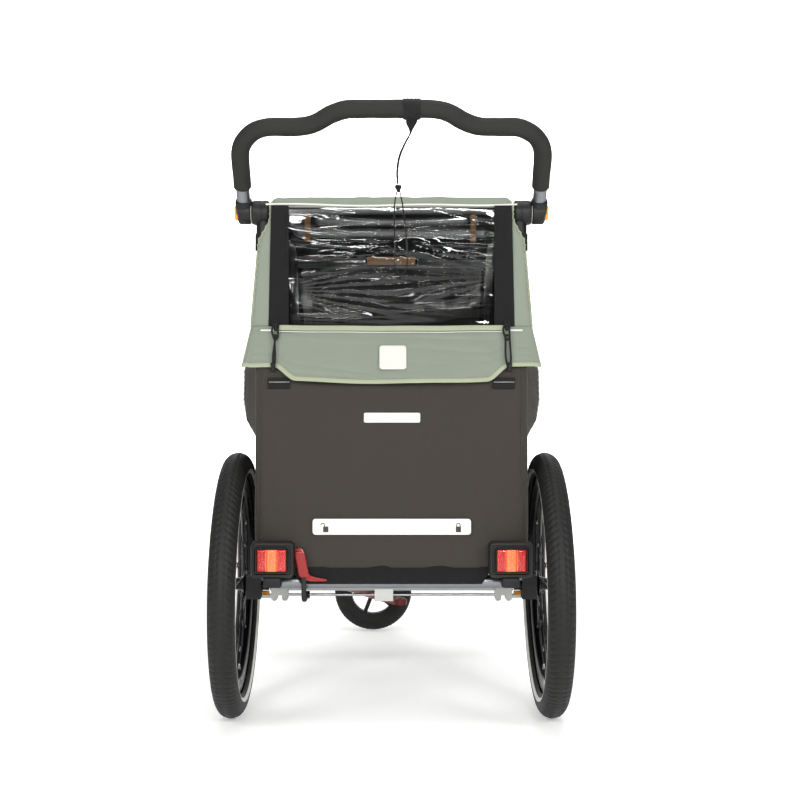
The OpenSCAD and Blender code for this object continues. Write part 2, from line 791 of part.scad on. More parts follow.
// Stub axle, drilled at its outer end for the release button
module axle(side) {
    color("silver") in_wheel(side) difference() {
        translate([0, 0, receiver_in + 8]) cylinder(h = hub_half + 4 - receiver_in - 8, r = axle_r);
        translate([0, 0, hub_half + 4 - button_deep]) cylinder(h = button_deep + 1, r = button_r + running);
    }
}

module wheel_button(side) {
    color("gray") in_wheel(side) {
        translate([0, 0, hub_half + 8 - button_deep]) cylinder(h = button_deep + 1, r = button_r);
        translate([0, 0, hub_half + 8]) cylinder(h = 4, r = 7);
    }
}

// Open-bottomed tyre whose beads sit on the rim
module tyre(side) {
    color([0.12, 0.12, 0.12]) in_wheel(side) rotate_extrude() difference() {
        translate([tyre_mid, 0]) circle(r = tyre_w / 2);
        translate([tyre_mid, 0]) circle(r = tyre_w / 2 - tyre_wall);
        translate([tyre_mid - tyre_w, -10]) square([tyre_w, 20]);
    }
}

// Channel-shaped rim
module rim(side) {
    color([0.15, 0.15, 0.15]) in_wheel(side) rotate_extrude() difference() {
        translate([rim_in, -rim_w / 2]) square([rim_depth, rim_w]);
        translate([rim_in + 3, 3 - rim_w / 2]) square([rim_depth, rim_w - 6]);
    }
}

// Spokes laced from the hub's flanges to the rim, leaning forward and back in turn
module wheel_spokes(side) {
    inner = flange_r + 0.5;
    outer = rim_in - 0.5;
    color("silver") in_wheel(side) for (k = [0:spokes - 1]) {
        a = 360 * k / spokes;
        flange_side = k % 2 == 0 ? 1 : -1;
        lead = floor(k / 2) % 2 == 0 ? 40 : -40;
        rod(
            [inner * cos(a + lead), inner * sin(a + lead), flange_side * flange_x],
            [outer * cos(a), outer * sin(a), flange_side * 2], spoke_r
        );
    }
}

module wheel_hub(side) {
    color([0.15, 0.15, 0.15]) in_wheel(side) rotate_extrude() difference() {
        union() {
            translate([0, -hub_half]) square([14, 2 * hub_half]);
            for (s = [-1, 1]) translate([0, s * flange_x - 1.5]) square([flange_r, 3]);
        }
        translate([-1, -hub_half - 1]) square([axle_r + running + 1, 2 * hub_half + 2]);
    }
}

// ---- Front wheel ----

// Stem, crown and two curved cheeks down to the front axle
module caster_fork() {
    color([0.15, 0.15, 0.15]) from_axle() translate([0, caster_y, 0]) {
        translate([0, 0, crown_z]) cylinder(h = 72, r = stem_r);
        translate([0, 0, crown_z - 4]) cylinder(h = 20, r = 19);
        for (s = [-1, 1]) {
            translate([0, s * (fork_in + fork_t / 2) + fork_t / 2, 0]) rotate([90, 0, 0]) linear_extrude(fork_t) {
                translate([8, caster_r - 12]) circle(r = 22);
                translate([-caster_trail, caster_r]) circle(r = 16);
                translate([-14, caster_r - 12]) square([44, crown_z - caster_r + 20]);
                translate([-caster_trail, caster_r - 16]) square([caster_trail, 32]);
            }
        }
        box([-14, -fork_in - fork_t, crown_z - 8], [30, fork_in + fork_t, crown_z + 6]);
        bar_along_y = fork_in + 1;
        translate([-caster_trail, bar_along_y, caster_r]) rotate([90, 0, 0]) cylinder(h = 2 * bar_along_y, r = 5);
    }
}

// Front wheel: tyre band, hub and five spokes in one moulding
module caster_wheel() {
    rim_half = caster_w / 2;
    inner = 0.55 * caster_r;
    color([0.2, 0.2, 0.2]) from_axle() translate([-caster_trail, caster_y, caster_r]) rotate([90, 0, 0]) {
        rotate_extrude() {
            translate([inner, -rim_half]) square([caster_r - inner - 10, caster_w]);
            translate([inner, -rim_half + 10]) square([caster_r - inner, caster_w - 20]);
            for (s = [-1, 1]) translate([caster_r - 10, s * (rim_half - 10)]) circle(r = 10);
            translate([5 + running, -rim_half + 2]) square([15, caster_w - 4]);
        }
        for (k = [0:4]) rotate([0, 0, -90 - 21 + 72 * k])
            translate([18, -6, -9]) cube([inner - 17, 12, 18]);
    }
}

// ---- Brake ----

// Cranked lever: from the rod back under the cross tube, up behind the panel, with a foot plate to its right
module brake_pedal() {
    x0 = 47 - rail_x;
    x1 = x0 + 13;
    back = panel_y - 7;
    color("red") from_axle() difference() {
        union() {
            box([x0, back - 6, rod_z - 8], [x1, rod_y + 6, rod_z + 2]);
            box([x0, back - 6, rod_z - 8], [x1, back, rail_z + 34]);
            box([x0 - 8, back - 6, rail_z + 26], [x1, back, rail_z + 36]);
            box([x0, back - 6, rail_z - 16], [x1 + 36, back, rail_z - 9]);
            bar_x(x0, x1, rod_y, rod_z, 7);
        }
        bar_x(x0 - 1, x1 + 1, rod_y, rod_z, rod_r + snug);
    }
}

module brake_rod() {
    color("silver") from_axle() bar_x(20 - rail_x, rail_x - 20, rod_y, rod_z, rod_r);
}

// ---- Tow arm ----

// Round arm with an eye on the bracket's pin and a flat drilled tongue for the hitch
module tow_arm() {
    color("silver") from_axle() translate(tow_pivot) rotate([0, 0, tow_turn]) difference() {
        union() {
            cylinder(h = 24, r = 18, center = true);
            translate([0, 0, 0]) rotate([0, 90, 0]) cylinder(h = tow_l - 60, r = tow_d / 2);
            box([tow_l - 110, -13, -6], [tow_l, 13, 6]);
            translate([tow_l, 0, -6]) cylinder(h = 12, r = 13);
        }
        cylinder(h = 40, r = 8 + running, center = true);
        for (x = [0, 22, 44]) translate([tow_l - x, 0, -20]) cylinder(h = 40, r = hitch_r);
    }
}

floor_rail(-1);  // floor_rail_left
floor_rail(1);  // floor_rail_right
rear_cross_tube();
front_cross_tube();
axle_beam();
corner_box(-1);  // corner_box_left
corner_box(1);  // corner_box_right
tail_reflectors();
frame_clamps();
clamp_screws();
suspension_bumpers();
pivot_pins();
wheel_guards();
tow_bracket();
caster_carrier();
floor_pan();
cargo_bag();
rear_panel();
side_panel(-1);  // side_panel_left
side_panel(1);  // side_panel_right
cabin_windows();
cover();
front_panel();
rear_window();
rear_flap();
seat_base();
seat_back();
harness();
sunshade();
flap_toggles();
label_bar();
rear_hoop();
pivot_hub(-1);  // pivot_hub_left
pivot_hub(1);  // pivot_hub_right
handlebar_tube();
foam_grip();
handlebar_sockets();
release_button(-1);  // release_button_left
release_button(1);  // release_button_right
wrist_strap();
roof_bows();
swing_arm(-1);  // swing_arm_left
swing_arm(1);  // swing_arm_right
axle(-1);  // axle_left
axle(1);  // axle_right
tyre(-1);  // tyre_left
tyre(1);  // tyre_right
rim(-1);  // rim_left
rim(1);  // rim_right
wheel_spokes(-1);  // spokes_left
wheel_spokes(1);  // spokes_right
wheel_hub(-1);  // wheel_hub_left
wheel_hub(1);  // wheel_hub_right
wheel_button(-1);  // wheel_button_left
wheel_button(1);  // wheel_button_right
caster_fork();
caster_wheel();
brake_pedal();
brake_rod();
tow_arm();
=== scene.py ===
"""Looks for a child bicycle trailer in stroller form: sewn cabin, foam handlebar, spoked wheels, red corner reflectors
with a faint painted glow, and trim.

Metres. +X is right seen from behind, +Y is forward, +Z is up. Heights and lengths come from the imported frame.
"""

import math

import bmesh
import bpy
import numpy as np
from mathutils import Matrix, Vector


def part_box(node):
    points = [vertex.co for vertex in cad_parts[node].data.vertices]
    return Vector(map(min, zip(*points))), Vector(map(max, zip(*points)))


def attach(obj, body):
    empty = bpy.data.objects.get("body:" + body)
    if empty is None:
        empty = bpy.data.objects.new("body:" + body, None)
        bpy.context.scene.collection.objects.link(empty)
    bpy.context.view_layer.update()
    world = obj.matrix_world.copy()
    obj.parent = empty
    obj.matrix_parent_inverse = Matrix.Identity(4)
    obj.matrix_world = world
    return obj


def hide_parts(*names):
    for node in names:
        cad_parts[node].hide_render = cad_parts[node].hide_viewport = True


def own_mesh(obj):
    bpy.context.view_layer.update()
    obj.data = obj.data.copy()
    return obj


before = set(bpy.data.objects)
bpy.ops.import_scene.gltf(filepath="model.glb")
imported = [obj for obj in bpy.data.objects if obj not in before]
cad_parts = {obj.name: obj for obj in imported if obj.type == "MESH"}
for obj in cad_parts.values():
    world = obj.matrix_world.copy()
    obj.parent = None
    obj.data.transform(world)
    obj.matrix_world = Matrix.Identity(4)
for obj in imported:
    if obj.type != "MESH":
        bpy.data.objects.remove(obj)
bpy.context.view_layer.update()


# ---- Places read from the frame ----

def middle(node):
    """Middle of a CAD node's box."""
    low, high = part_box(node)
    return (np.array(low) + np.array(high)) / 2


AXLE_Y, AXLE_Z = middle("tyre_right")[1:]
WHEEL_X = middle("rim_right")[0]
RAIL_Z = middle("floor_rail_right")[2]
WHEEL_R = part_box("tyre_right")[1][2] / 2
TYRE_W = 0.049
CAMBER = math.radians(0.86)
PANEL_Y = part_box("rear_panel")[0][1]
PANEL_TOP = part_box("rear_panel")[1][2]
ROOF_Z = RAIL_Z + 0.672
BACK_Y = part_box("cover")[0][1]
FLAP_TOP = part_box("rear_window")[0][2] - 0.0043
PIVOT = middle("pivot_hub_right") * [0, 1, 0] + [0, 0, RAIL_Z + 0.654]
BAR_TILT = math.radians(39)


# ---- Camera ----

def add_camera():
    """Level camera behind the trailer, looking forward at the height of its middle."""
    lens = bpy.data.cameras.new("camera")
    lens.lens, lens.sensor_width, lens.shift_x = 59.5, 36, 0.0106
    camera = bpy.data.objects.new("camera", lens)
    camera.location = (0, AXLE_Y - 2.52, 0.600)
    camera.rotation_euler = (math.pi / 2, 0, 0)
    bpy.context.scene.collection.objects.link(camera)
    bpy.context.scene.camera = camera


add_camera()


# ---- Shader expressions ----

class Signal:
    """A socket that takes part in sums as a number does; each operation adds a Math node."""

    def __init__(self, finish, socket):
        self.finish, self.socket = finish, socket

    def math(self, operation, *others):
        return self.finish.math(operation, self, *others)

    def __add__(self, other):
        return self.math("ADD", other)

    def __sub__(self, other):
        return self.math("SUBTRACT", other)

    def __rsub__(self, other):
        return self.finish.math("SUBTRACT", other, self)

    def __mul__(self, other):
        return self.math("MULTIPLY", other)

    def __pow__(self, other):
        return self.math("POWER", other)

    def __gt__(self, other):
        return self.math("GREATER_THAN", other)

    def __lt__(self, other):
        return self.math("LESS_THAN", other)

    def __abs__(self):
        return self.math("ABSOLUTE")

    __radd__, __rmul__ = __add__, __mul__


def srgb(code):
    """Linear colour of a six-digit hex code."""
    parts = np.array([int(code[i:i + 2], 16) for i in (0, 2, 4)]) / 255
    linear = np.where(parts <= 0.04045, parts / 12.92, ((parts + 0.055) / 1.055) ** 2.4)
    return (*linear, 1.0)


class Finish:
    """A material with a Principled shader whose varying inputs are fed by expressions."""

    def __init__(self, name, colour, roughness, **settings):
        self.material = bpy.data.materials.new(name)
        self.material.use_nodes = True
        self.tree = self.material.node_tree
        self.shader = self.tree.nodes["Principled BSDF"]
        self.colour = srgb(colour)
        self.shader.inputs["Base Color"].default_value = self.colour
        self.shader.inputs["Roughness"].default_value = roughness
        for key, value in settings.items():
            self.shader.inputs[key.replace("_", " ")].default_value = value
        self.place = self.node("ShaderNodeTexCoord", output="Object")

    def node(self, kind, settings=None, values=None, output=0):
        """Adds a node with its settings, then the values or links of its sockets."""
        made = self.tree.nodes.new(kind)
        for key, value in (settings or {}).items():
            setattr(made, key, value)
        for key, value in (values or {}).items():
            if isinstance(value, Signal):
                self.tree.links.new(value.socket, made.inputs[key])
            else:
                made.inputs[key].default_value = value
        return Signal(self, made.outputs[output])

    def math(self, operation, *values):
        return self.node("ShaderNodeMath", {"operation": operation}, dict(enumerate(values)))

    def axis(self, name):
        """One coordinate of the place on the piece, in metres."""
        return self.node("ShaderNodeSeparateXYZ", None, {0: self.place}, "XYZ".index(name))

    def noise(self, scale, detail=3.0, stretch=(1, 1, 1)):
        """Cloudy value from 0 to 1 with that many lumps a metre."""
        place = self.node("ShaderNodeMapping", None, {"Vector": self.place, "Scale": stretch})
        return self.node(
            "ShaderNodeTexNoise", None, {"Vector": place, "Scale": scale, "Detail": detail, "Roughness": 0.6}
        )

    def cells(self, scale, stretch=(1, 1, 1)):
        """Distance to the nearest of scattered points."""
        place = self.node("ShaderNodeMapping", None, {"Vector": self.place, "Scale": stretch})
        return self.node("ShaderNodeTexVoronoi", None, {"Vector": place, "Scale": scale})

    def weave(self, pitch):
        """Over and under of threads with that spacing: the product of waves along two diagonals."""
        f = 2 * math.pi / pitch
        x, y, z = (self.axis(a) * f for a in "XYZ")
        return (x + y).math("SINE") * (z + y * 0.5).math("SINE") * 0.5 + 0.5

    def mix(self, amount, first, second):
        """Colour between two colours."""
        return self.node(
            "ShaderNodeMix", {"data_type": "RGBA"}, {"Factor": amount, 6: first, 7: second}, 2
        )

    def feed(self, name, signal):
        self.tree.links.new(signal.socket, self.shader.inputs[name])
        return self

    def bump(self, height, distance, strength=1.0, under=None):
        values = {"Height": height, "Distance": distance, "Strength": strength}
        if under is not None:
            values["Normal"] = under
        return self.node("ShaderNodeBump", None, values)


def shade(colour, factor):
    """A colour made lighter or darker by a factor."""
    return (*(min(1.0, c * factor) for c in colour[:3]), 1.0)


def cloth(name, colour, pitch=0.0011, mottling=0.12, depth=0.00025):
    """Woven cloth: threads, slow mottling and a faint sheen."""
    f = Finish(name, colour, 0.85, Sheen_Weight=0.08, Sheen_Roughness=0.5, Specular_IOR_Level=0.22)
    threads = f.weave(pitch)
    cloud = f.noise(28)
    fibres = f.noise(900, 2)
    tone = cloud * 0.7 + fibres * 0.3
    f.feed("Base Color", f.mix(tone, shade(f.colour, 1 - mottling), shade(f.colour, 1 + mottling)))
    f.feed("Roughness", cloud * 0.12 + 0.79)
    f.feed("Normal", f.bump(threads + fibres * 0.6, depth, 0.7, f.bump(f.noise(55), 0.0012, 0.35)))
    return f.material


def plastic(name, colour, roughness, coat=0.0):
    """Moulded plastic with a fine spark-eroded grain and slightly rubbed high places."""
    f = Finish(name, colour, roughness, Coat_Weight=coat, Coat_Roughness=0.15, Specular_IOR_Level=0.35)
    grit = f.noise(700, 2)
    cloud = f.noise(18)
    f.feed("Base Color", f.mix(cloud * 0.6 + grit * 0.4, shade(f.colour, 0.85), shade(f.colour, 1.2)))
    f.feed("Roughness", cloud * 0.14 + grit * 0.06 + (roughness - 0.08))
    f.feed("Normal", f.bump(grit, 0.00012, 0.8))
    return f.material


def metal(name, colour, roughness, scratch=(1, 1, 30), coat=0.0):
    """Metal with fine drawn lines and cloudy oxide."""
    f = Finish(name, colour, roughness, Metallic=1.0, Coat_Weight=coat)
    lines = f.noise(260, 3, scratch)
    cloud = f.noise(14)
    f.feed("Base Color", f.mix(cloud, shade(f.colour, 0.88), shade(f.colour, 1.08)))
    f.feed("Roughness", lines * 0.16 + cloud * 0.10 + (roughness - 0.12))
    f.feed("Normal", f.bump(lines, 0.00006, 0.6))
    return f.material


def webbing(name, colour):
    """Flat-woven strap: a strong ladder of weft ridges under twill lines."""
    f = Finish(name, colour, 0.72, Sheen_Weight=0.08, Specular_IOR_Level=0.25)
    x, y, z = (f.axis(a) for a in "XYZ")
    rungs = ((z + y) * 2600).math("SINE") * 0.5 + 0.5
    twill = ((x * 1.0 + z) * 3800).math("SINE") * 0.5 + 0.5
    f.feed("Base Color", f.mix(rungs * 0.6 + f.noise(60) * 0.4, shade(f.colour, 0.7), shade(f.colour, 1.35)))
    f.feed("Normal", f.bump(rungs + twill * 0.5, 0.0003, 0.8))
    return f.material


def foam_finish():
    """Closed-cell foam: matt, pitted, with rubbed paler patches."""
    f = Finish("grip_foam", "1d1d1c", 0.78, Specular_IOR_Level=0.3)
    pits = f.cells(900)
    cloud = f.noise(24)
    f.feed("Base Color", f.mix(cloud * 0.7 + pits * 0.3, srgb("191918"), srgb("272725")))
    f.feed("Roughness", cloud * 0.16 + 0.68)
    f.feed("Normal", f.bump(pits, 0.00025, 0.6, f.bump(f.noise(120), 0.0006, 0.4)))
    return f.material


def rubber_finish(name, colour="0e0e0d", roughness=0.62):
    """Tyre rubber: dusty bloom and fine mould texture."""
    f = Finish(name, colour, roughness, Specular_IOR_Level=0.35)
    dust = f.noise(40, 5)
    fine = f.noise(1200, 2)
    f.feed("Base Color", f.mix(dust ** 2.0, f.colour, shade(f.colour, 1.9)))
    f.feed("Roughness", dust * 0.2 + (roughness - 0.08))
    f.feed("Normal", f.bump(fine, 0.0002, 0.5))
    return f.material


def vinyl_finish():
    """Clear flexible sheet: tinted, with a glossy skin, a little denser and rougher where it is creased."""
    f = Finish("clear_vinyl", "040504", 0.05, Specular_IOR_Level=0.55)
    haze = f.noise(9, 4, (1, 1, 3))
    veins = f.noise(26, 5, (0.5, 1, 2.4))
    crease = (abs(veins - 0.5) * -9 + 1.0).math("MAXIMUM", 0.0)
    f.feed("Alpha", haze * 0.08 + crease * 0.06 + 0.50)
    f.feed("Roughness", haze * 0.03 + 0.015)
    f.feed("Normal", f.bump(f.noise(12, 2, (0.5, 1, 2.6)), 0.0012, 0.5))
    return f.material


def lens_finish():
    """Red reflector: rows of small prisms with painted glints, a painted highlight as a paler band down the middle of
    each lens, and a faint painted glow.
    """
    f = Finish("red_lens", "b3140f", 0.16, Coat_Weight=0.6, Coat_Roughness=0.05)
    across = abs(abs(f.axis("X")) - LENS_X)
    # band marks the painted highlight: a paler strip down the middle of each lens.
    band = across < 0.0105
    height = f.axis("Z")
    prism = ((height * 1500).math("SINE") * (f.axis("X") * 1500).math("SINE")) * 0.5 + 0.5
    speck = f.noise(500, 2)
    # Painted glints: each prism and speck is a paler or darker red.
    painted_glints = prism * 0.55 + speck * 0.45
    side = f.mix(painted_glints, srgb("6e0503"), srgb("d02010"))
    centre = f.mix(painted_glints, srgb("e02a08"), srgb("ff8a48"))
    colour = f.mix(band, side, centre)
    f.feed("Base Color", colour)
    # Painted glow: the reflector is no lamp, yet its colour feeds the emission.
    f.tree.links.new(colour.socket, f.shader.inputs["Emission Color"])
    f.shader.inputs["Emission Strength"].default_value = 0.3
    f.feed("Normal", f.bump(prism, 0.0008, 0.9))
    return f.material


def reflective_finish(name, hatch=False):
    """Silver-white retro-reflective tape, plain with a fine honeycomb or printed in slanting bars."""
    f = Finish(name, "c9c9c2", 0.38, Specular_IOR_Level=0.7)
    comb = f.cells(700)
    light = f.mix(comb, srgb("b9b9b2"), srgb("d2d2cb"))
    if hatch:
        run = (f.axis("Z") + f.axis("Y") * 0.35) * 95
        bars = run.math("FRACT") > 0.42
        light = f.mix(bars, srgb("55534f"), light)
    f.feed("Base Color", light)
    f.feed("Normal", f.bump(comb, 0.0002, 0.5))
    return f.material


def leather_finish():
    """Tan leather strap with a fine grain."""
    f = Finish("tan_leather", "8a5f34", 0.55)
    grain = f.cells(1400)
    f.feed("Base Color", f.mix(f.noise(60) * 0.6 + grain * 0.4, srgb("6b4522"), srgb("a5763f")))
    f.feed("Normal", f.bump(grain, 0.0003, 0.7))
    return f.material


def print_finish(name, colour, roughness=0.5):
    """Screen-printed or moulded pale plastic with faint scuffs."""
    f = Finish(name, colour, roughness)
    scuff = f.noise(90, 5, (1, 1, 4))
    f.feed("Base Color", f.mix(scuff, shade(f.colour, 0.93), shade(f.colour, 1.04)))
    f.feed("Roughness", scuff * 0.15 + (roughness - 0.07))
    f.feed("Normal", f.bump(f.noise(800, 2), 0.00008, 0.5))
    return f.material


LENS_X = middle("corner_box_right")[0] + 0.0015
SAGE = cloth("sage_cloth", "7b8276", mottling=0.07)
BINDING = cloth("pale_binding", "999f86", pitch=0.0016, mottling=0.1, depth=0.0004)
GREY = cloth("warm_grey_cloth", "36322e", mottling=0.09)
BLACK_CLOTH = cloth("black_cloth", "121212", mottling=0.2)
PAD_CLOTH = cloth("seat_cloth", "242423", pitch=0.0022, depth=0.0005)
SHADE = cloth("sunshade_mesh", "4f4f4c", pitch=0.0018)
WEBBING = webbing("black_webbing", "0e0e0e")
FOAM = foam_finish()
TYRE = rubber_finish("tyre_rubber")
RIM = metal("black_rim", "101010", 0.42, (1, 1, 1), 0.3)
ALLOY = metal("satin_alloy", "a9abac", 0.36)
CAST = metal("cast_alloy", "b4b4b1", 0.5, (1, 1, 1))
STEEL = metal("steel", "9a9a9a", 0.3)
BLACK = plastic("black_plastic", "0d0d0d", 0.48)
CHARCOAL = plastic("charcoal_plastic", "1a1a19", 0.55)
RED = plastic("red_plastic", "870806", 0.34, coat=0.4)
ORANGE = plastic("orange_plastic", "f29a1e", 0.36, coat=0.3)
YELLOW = rubber_finish("yellow_rubber", "d07c0c", 0.5)
VINYL = vinyl_finish()
LENS = lens_finish()
TAPE = reflective_finish("reflective_tape")
HATCH = reflective_finish("hatched_print", True)
LEATHER = leather_finish()
IVORY = print_finish("ivory_print", "dcdad1")
INK = print_finish("dark_ink", "2a2926", 0.6)


# ---- Surfaces ----

def spline(points, n):
    """Smooth curve through points: each stretch is the cubic whose ends have their neighbours' mean slope."""
    p = np.array(points, float)
    p = np.vstack([2 * p[:1] - p[1:2], p, 2 * p[-1:] - p[-2:-1]])
    t = np.linspace(0, len(p) - 3, n)
    i = np.minimum(t.astype(int), len(p) - 4)
    f = (t - i)[:, None]
    a, b, c, d = (p[i + k] for k in range(4))
    return 0.5 * (2 * b + f * (c - a) + f ** 2 * (2 * a - 5 * b + 4 * c - d) + f ** 3 * (3 * b - a - 3 * c + d))


def step(x, start, end):
    """Smooth rise from 0 at start to 1 at end."""
    t = np.clip((x - start) / (end - start), 0, 1)
    return t * t * (3 - 2 * t)


def hump(x, centre, width):
    """Bell-shaped bump of height 1."""
    return np.exp(-((x - centre) / width) ** 2)


def creases(u, v, seed, count, reach=0.12, width=0.02, tilt=(0.0, 1.0)):
    """Sum of random ridges: each is a long bell along its own direction and a narrow one across it."""
    rng = np.random.default_rng(seed)
    shape = (count,) + (1,) * np.ndim(u)
    cu = rng.uniform(np.min(u), np.max(u), count).reshape(shape)
    cv = rng.uniform(np.min(v), np.max(v), count).reshape(shape)
    angle = rng.uniform(tilt[0], tilt[1], count).reshape(shape) * math.pi
    size = rng.uniform(0.4, 1.0, count).reshape(shape) * rng.choice([-1, 1], count).reshape(shape)
    along = (u - cu) * np.cos(angle) + (v - cv) * np.sin(angle)
    across = (v - cv) * np.cos(angle) - (u - cu) * np.sin(angle)
    wide = rng.uniform(0.5, 1.2, count).reshape(shape) * width
    return np.sum(size * np.exp(-(along / reach) ** 2 - (across / wide) ** 2), axis=0)


def grid(us, vs):
    """The two parameters of a surface as arrays."""
    return np.meshgrid(np.asarray(us, float), np.asarray(vs, float), indexing="ij")


def build(name, places, material, wrap=(False, False), caps=False, holes=None, outward=True):
    """Mesh of a grid of places (rows, columns, xyz): quads between neighbours, closed round where wrapped,
    with flat or pointed ends where capped, and without the quads that holes marks."""
    rows, columns = places.shape[:2]
    index = np.arange(rows * columns).reshape(rows, columns)
    nu, nv = rows - (not wrap[0]), columns - (not wrap[1])
    a = index[:nu, :nv]
    b = np.roll(index, -1, 0)[:nu, :nv]
    c = np.roll(np.roll(index, -1, 0), -1, 1)[:nu, :nv]
    d = np.roll(index, -1, 1)[:nu, :nv]
    quads = np.stack([a, b, c, d], -1)
    if holes is not None:
        quads = quads[~holes]
    faces = quads.reshape(-1, 4).tolist()
    if caps:
        faces += [index[0].tolist(), index[-1].tolist()[::-1]]
    mesh = bpy.data.meshes.new(name)
    mesh.from_pydata(places.reshape(-1, 3).tolist(), [], faces)
    clean = bmesh.new()
    clean.from_mesh(mesh)
    bmesh.ops.remove_doubles(clean, verts=clean.verts, dist=1e-6)
    loose = [v for v in clean.verts if not v.link_faces]
    bmesh.ops.delete(clean, geom=loose, context="VERTS")
    if outward:
        bmesh.ops.recalc_face_normals(clean, faces=clean.faces)
    clean.to_mesh(mesh)
    clean.free()
    mesh.polygons.foreach_set("use_smooth", [True] * len(mesh.polygons))
    mesh.materials.append(material)
    piece = bpy.data.objects.new(name, mesh)
    bpy.context.scene.collection.objects.link(piece)
    return piece


def finish_piece(piece, body, slot, *nodes, soft=False):
    """Rides a piece on its body, hides the nodes it stands for, and gives a soft piece its own copy of its mesh; the
    slot is not used.
    """
    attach(piece, body)
    if nodes:
        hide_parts(*nodes)
    if soft:
        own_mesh(piece)
    return piece


def thicken(piece, thickness):
    """Gives a sheet its thickness, half to each side."""
    solid = piece.modifiers.new("thickness", "SOLIDIFY")
    solid.thickness, solid.offset = thickness, 0
    return piece


def crisp(piece, angle=35):
    """Keeps edges sharper than the angle crisp in the shading."""
    faces = piece.data
    mesh = bmesh.new()
    mesh.from_mesh(faces)
    for edge in mesh.edges:
        if len(edge.link_faces) == 2 and edge.calc_face_angle(0) > math.radians(angle):
            edge.smooth = False
    mesh.to_mesh(faces)
    mesh.free()
    return piece


def square_to(path, across, closed=False):
    """The two directions square to each point of a path: across with its part along the path taken off, and
    the one square to both."""
    run = np.roll(path, -1, 0) - np.roll(path, 1, 0) if closed else np.gradient(path, axis=0)
    run /= np.linalg.norm(run, axis=1, keepdims=True)
    side = np.asarray(across, float) - run * (run @ np.asarray(across, float))[:, None]
    side /= np.linalg.norm(side, axis=1, keepdims=True)
    return side, np.cross(run, side)


def tube(name, path, radius, material, sides=24, across=(1, 0, 0), flat=1.0, closed=False, twist=0.0):
    """Circle of the given radius (or ellipse, flat times as deep) carried square to a path and turned by twist;
    across is a direction that the path never runs along."""
    path = np.asarray(path, float)
    side, other = square_to(path, across, closed)
    twist = np.broadcast_to(twist, (len(path),))[:, None]
    side, other = side * np.cos(twist) + other * np.sin(twist), other * np.cos(twist) - side * np.sin(twist)
    r = np.asarray(radius, float)
    r = r if r.ndim == 2 else np.broadcast_to(r, (len(path),))[:, None]
    a = np.linspace(0, 2 * math.pi, sides, endpoint=False)[None, :]
    wide, deep = (r * np.cos(a))[..., None], (r * flat * np.sin(a))[..., None]
    places = path[:, None] + wide * side[:, None] + deep * other[:, None]
    return build(name, places, material, (closed, True), not closed)


def strap(name, path, width, thickness, material, across=(1, 0, 0)):
    """Flat strap along a path: a rounded rectangle, width along across and thickness square to it."""
    path = np.asarray(path, float)
    side, other = square_to(path, across)
    outline = rounded(width / 2, thickness / 2, thickness * 0.45, 2)
    places = path[:, None] + outline[None, :, :1] * side[:, None] + outline[None, :, 1:] * other[:, None]
    return crisp(build(name, places, material, (False, True), True), 50)


def rounded(a, b, corner, n=6):
    """Outline of a rectangle of half sizes a and b with round corners, anticlockwise."""
    corner = min(corner, a, b)
    t = np.linspace(0, math.pi / 2, n + 1)
    arcs = [
        np.stack([sx * (a - corner) + corner * np.cos(t + turn), sy * (b - corner) + corner * np.sin(t + turn)], -1)
        for sx, sy, turn in ((1, 1, 0), (-1, 1, math.pi / 2), (-1, -1, math.pi), (1, -1, 1.5 * math.pi))
    ]
    return np.concatenate(arcs)


def slab(name, centre, half, corner, profile, material, facing="-Y", bend=None):
    """Stack of rounded rectangles: each profile step is (inset from the outline, height along the facing)."""
    a, b = half
    rings = []
    for inset, height in profile:
        edge = rounded(a - inset, b - inset, max(corner - inset, 0.0004))
        rings.append(np.column_stack([edge, np.full(len(edge), height)]))
    flat = np.array(rings)
    axes = {
        "-Y": ((1, 0, 0), (0, 0, 1), (0, -1, 0)), "+Y": ((-1, 0, 0), (0, 0, 1), (0, 1, 0)),
        "+X": ((0, 1, 0), (0, 0, 1), (1, 0, 0)), "-X": ((0, -1, 0), (0, 0, 1), (-1, 0, 0)),
        "+Z": ((1, 0, 0), (0, 1, 0), (0, 0, 1)), "-Z": ((1, 0, 0), (0, -1, 0), (0, 0, -1)),
    }[facing]
    places = np.asarray(centre, float) + flat @ np.array(axes, float)
    if bend is not None:
        places = bend(places)
    return crisp(build(name, places, material, (False, True), True), 30)


def lathe(name, profile, origin, axis, material, sides=96, closed=False):
    """Turns a profile of (radius, distance along the axis) about an axis through the origin."""
    profile = np.asarray(profile, float)
    axis = np.asarray(axis, float) / np.linalg.norm(axis)
    first = np.cross(axis, [0, 0, 1] if abs(axis[2]) < 0.9 else [1, 0, 0])
    first /= np.linalg.norm(first)
    second = np.cross(axis, first)
    a = np.linspace(0, 2 * math.pi, sides, endpoint=False)[None, :, None]
    r, h = profile[:, 0][:, None, None], profile[:, 1][:, None, None]
    places = np.asarray(origin, float) + r * (np.cos(a) * first + np.sin(a) * second) + h * axis
    return crisp(build(name, places, material, (closed, True), not closed), 35)


def place(points):
    """Row places of (x, distance ahead of the axles, height above the rails), given in millimetres."""
    return np.asarray(points, float) / 1000 + [0, AXLE_Y, RAIL_Z]


def both(make):
    """Makes a piece on each side: make is given -1 for the left and 1 for the right."""
    return [make(-1), make(1)]


def side_name(side):
    return "left" if side < 0 else "right"


# ---- Handlebar ----

BAR_DROP, BAR_RUN, BAR_CORNER, BAR_FLAT, BAR_L, LEG_X = 35, 108, 60, 64, 211, 273
BETWEEN_BENDS = 8
SHOULDER = math.atan(BAR_DROP / (BAR_RUN + BETWEEN_BENDS))
SHOULDER_R = (BAR_RUN - BETWEEN_BENDS * math.cos(2 * SHOULDER)) / (2 * math.sin(2 * SHOULDER))
BAR_MID = PIVOT + BAR_L / 1000 * np.array([0, -math.sin(BAR_TILT), math.cos(BAR_TILT)])


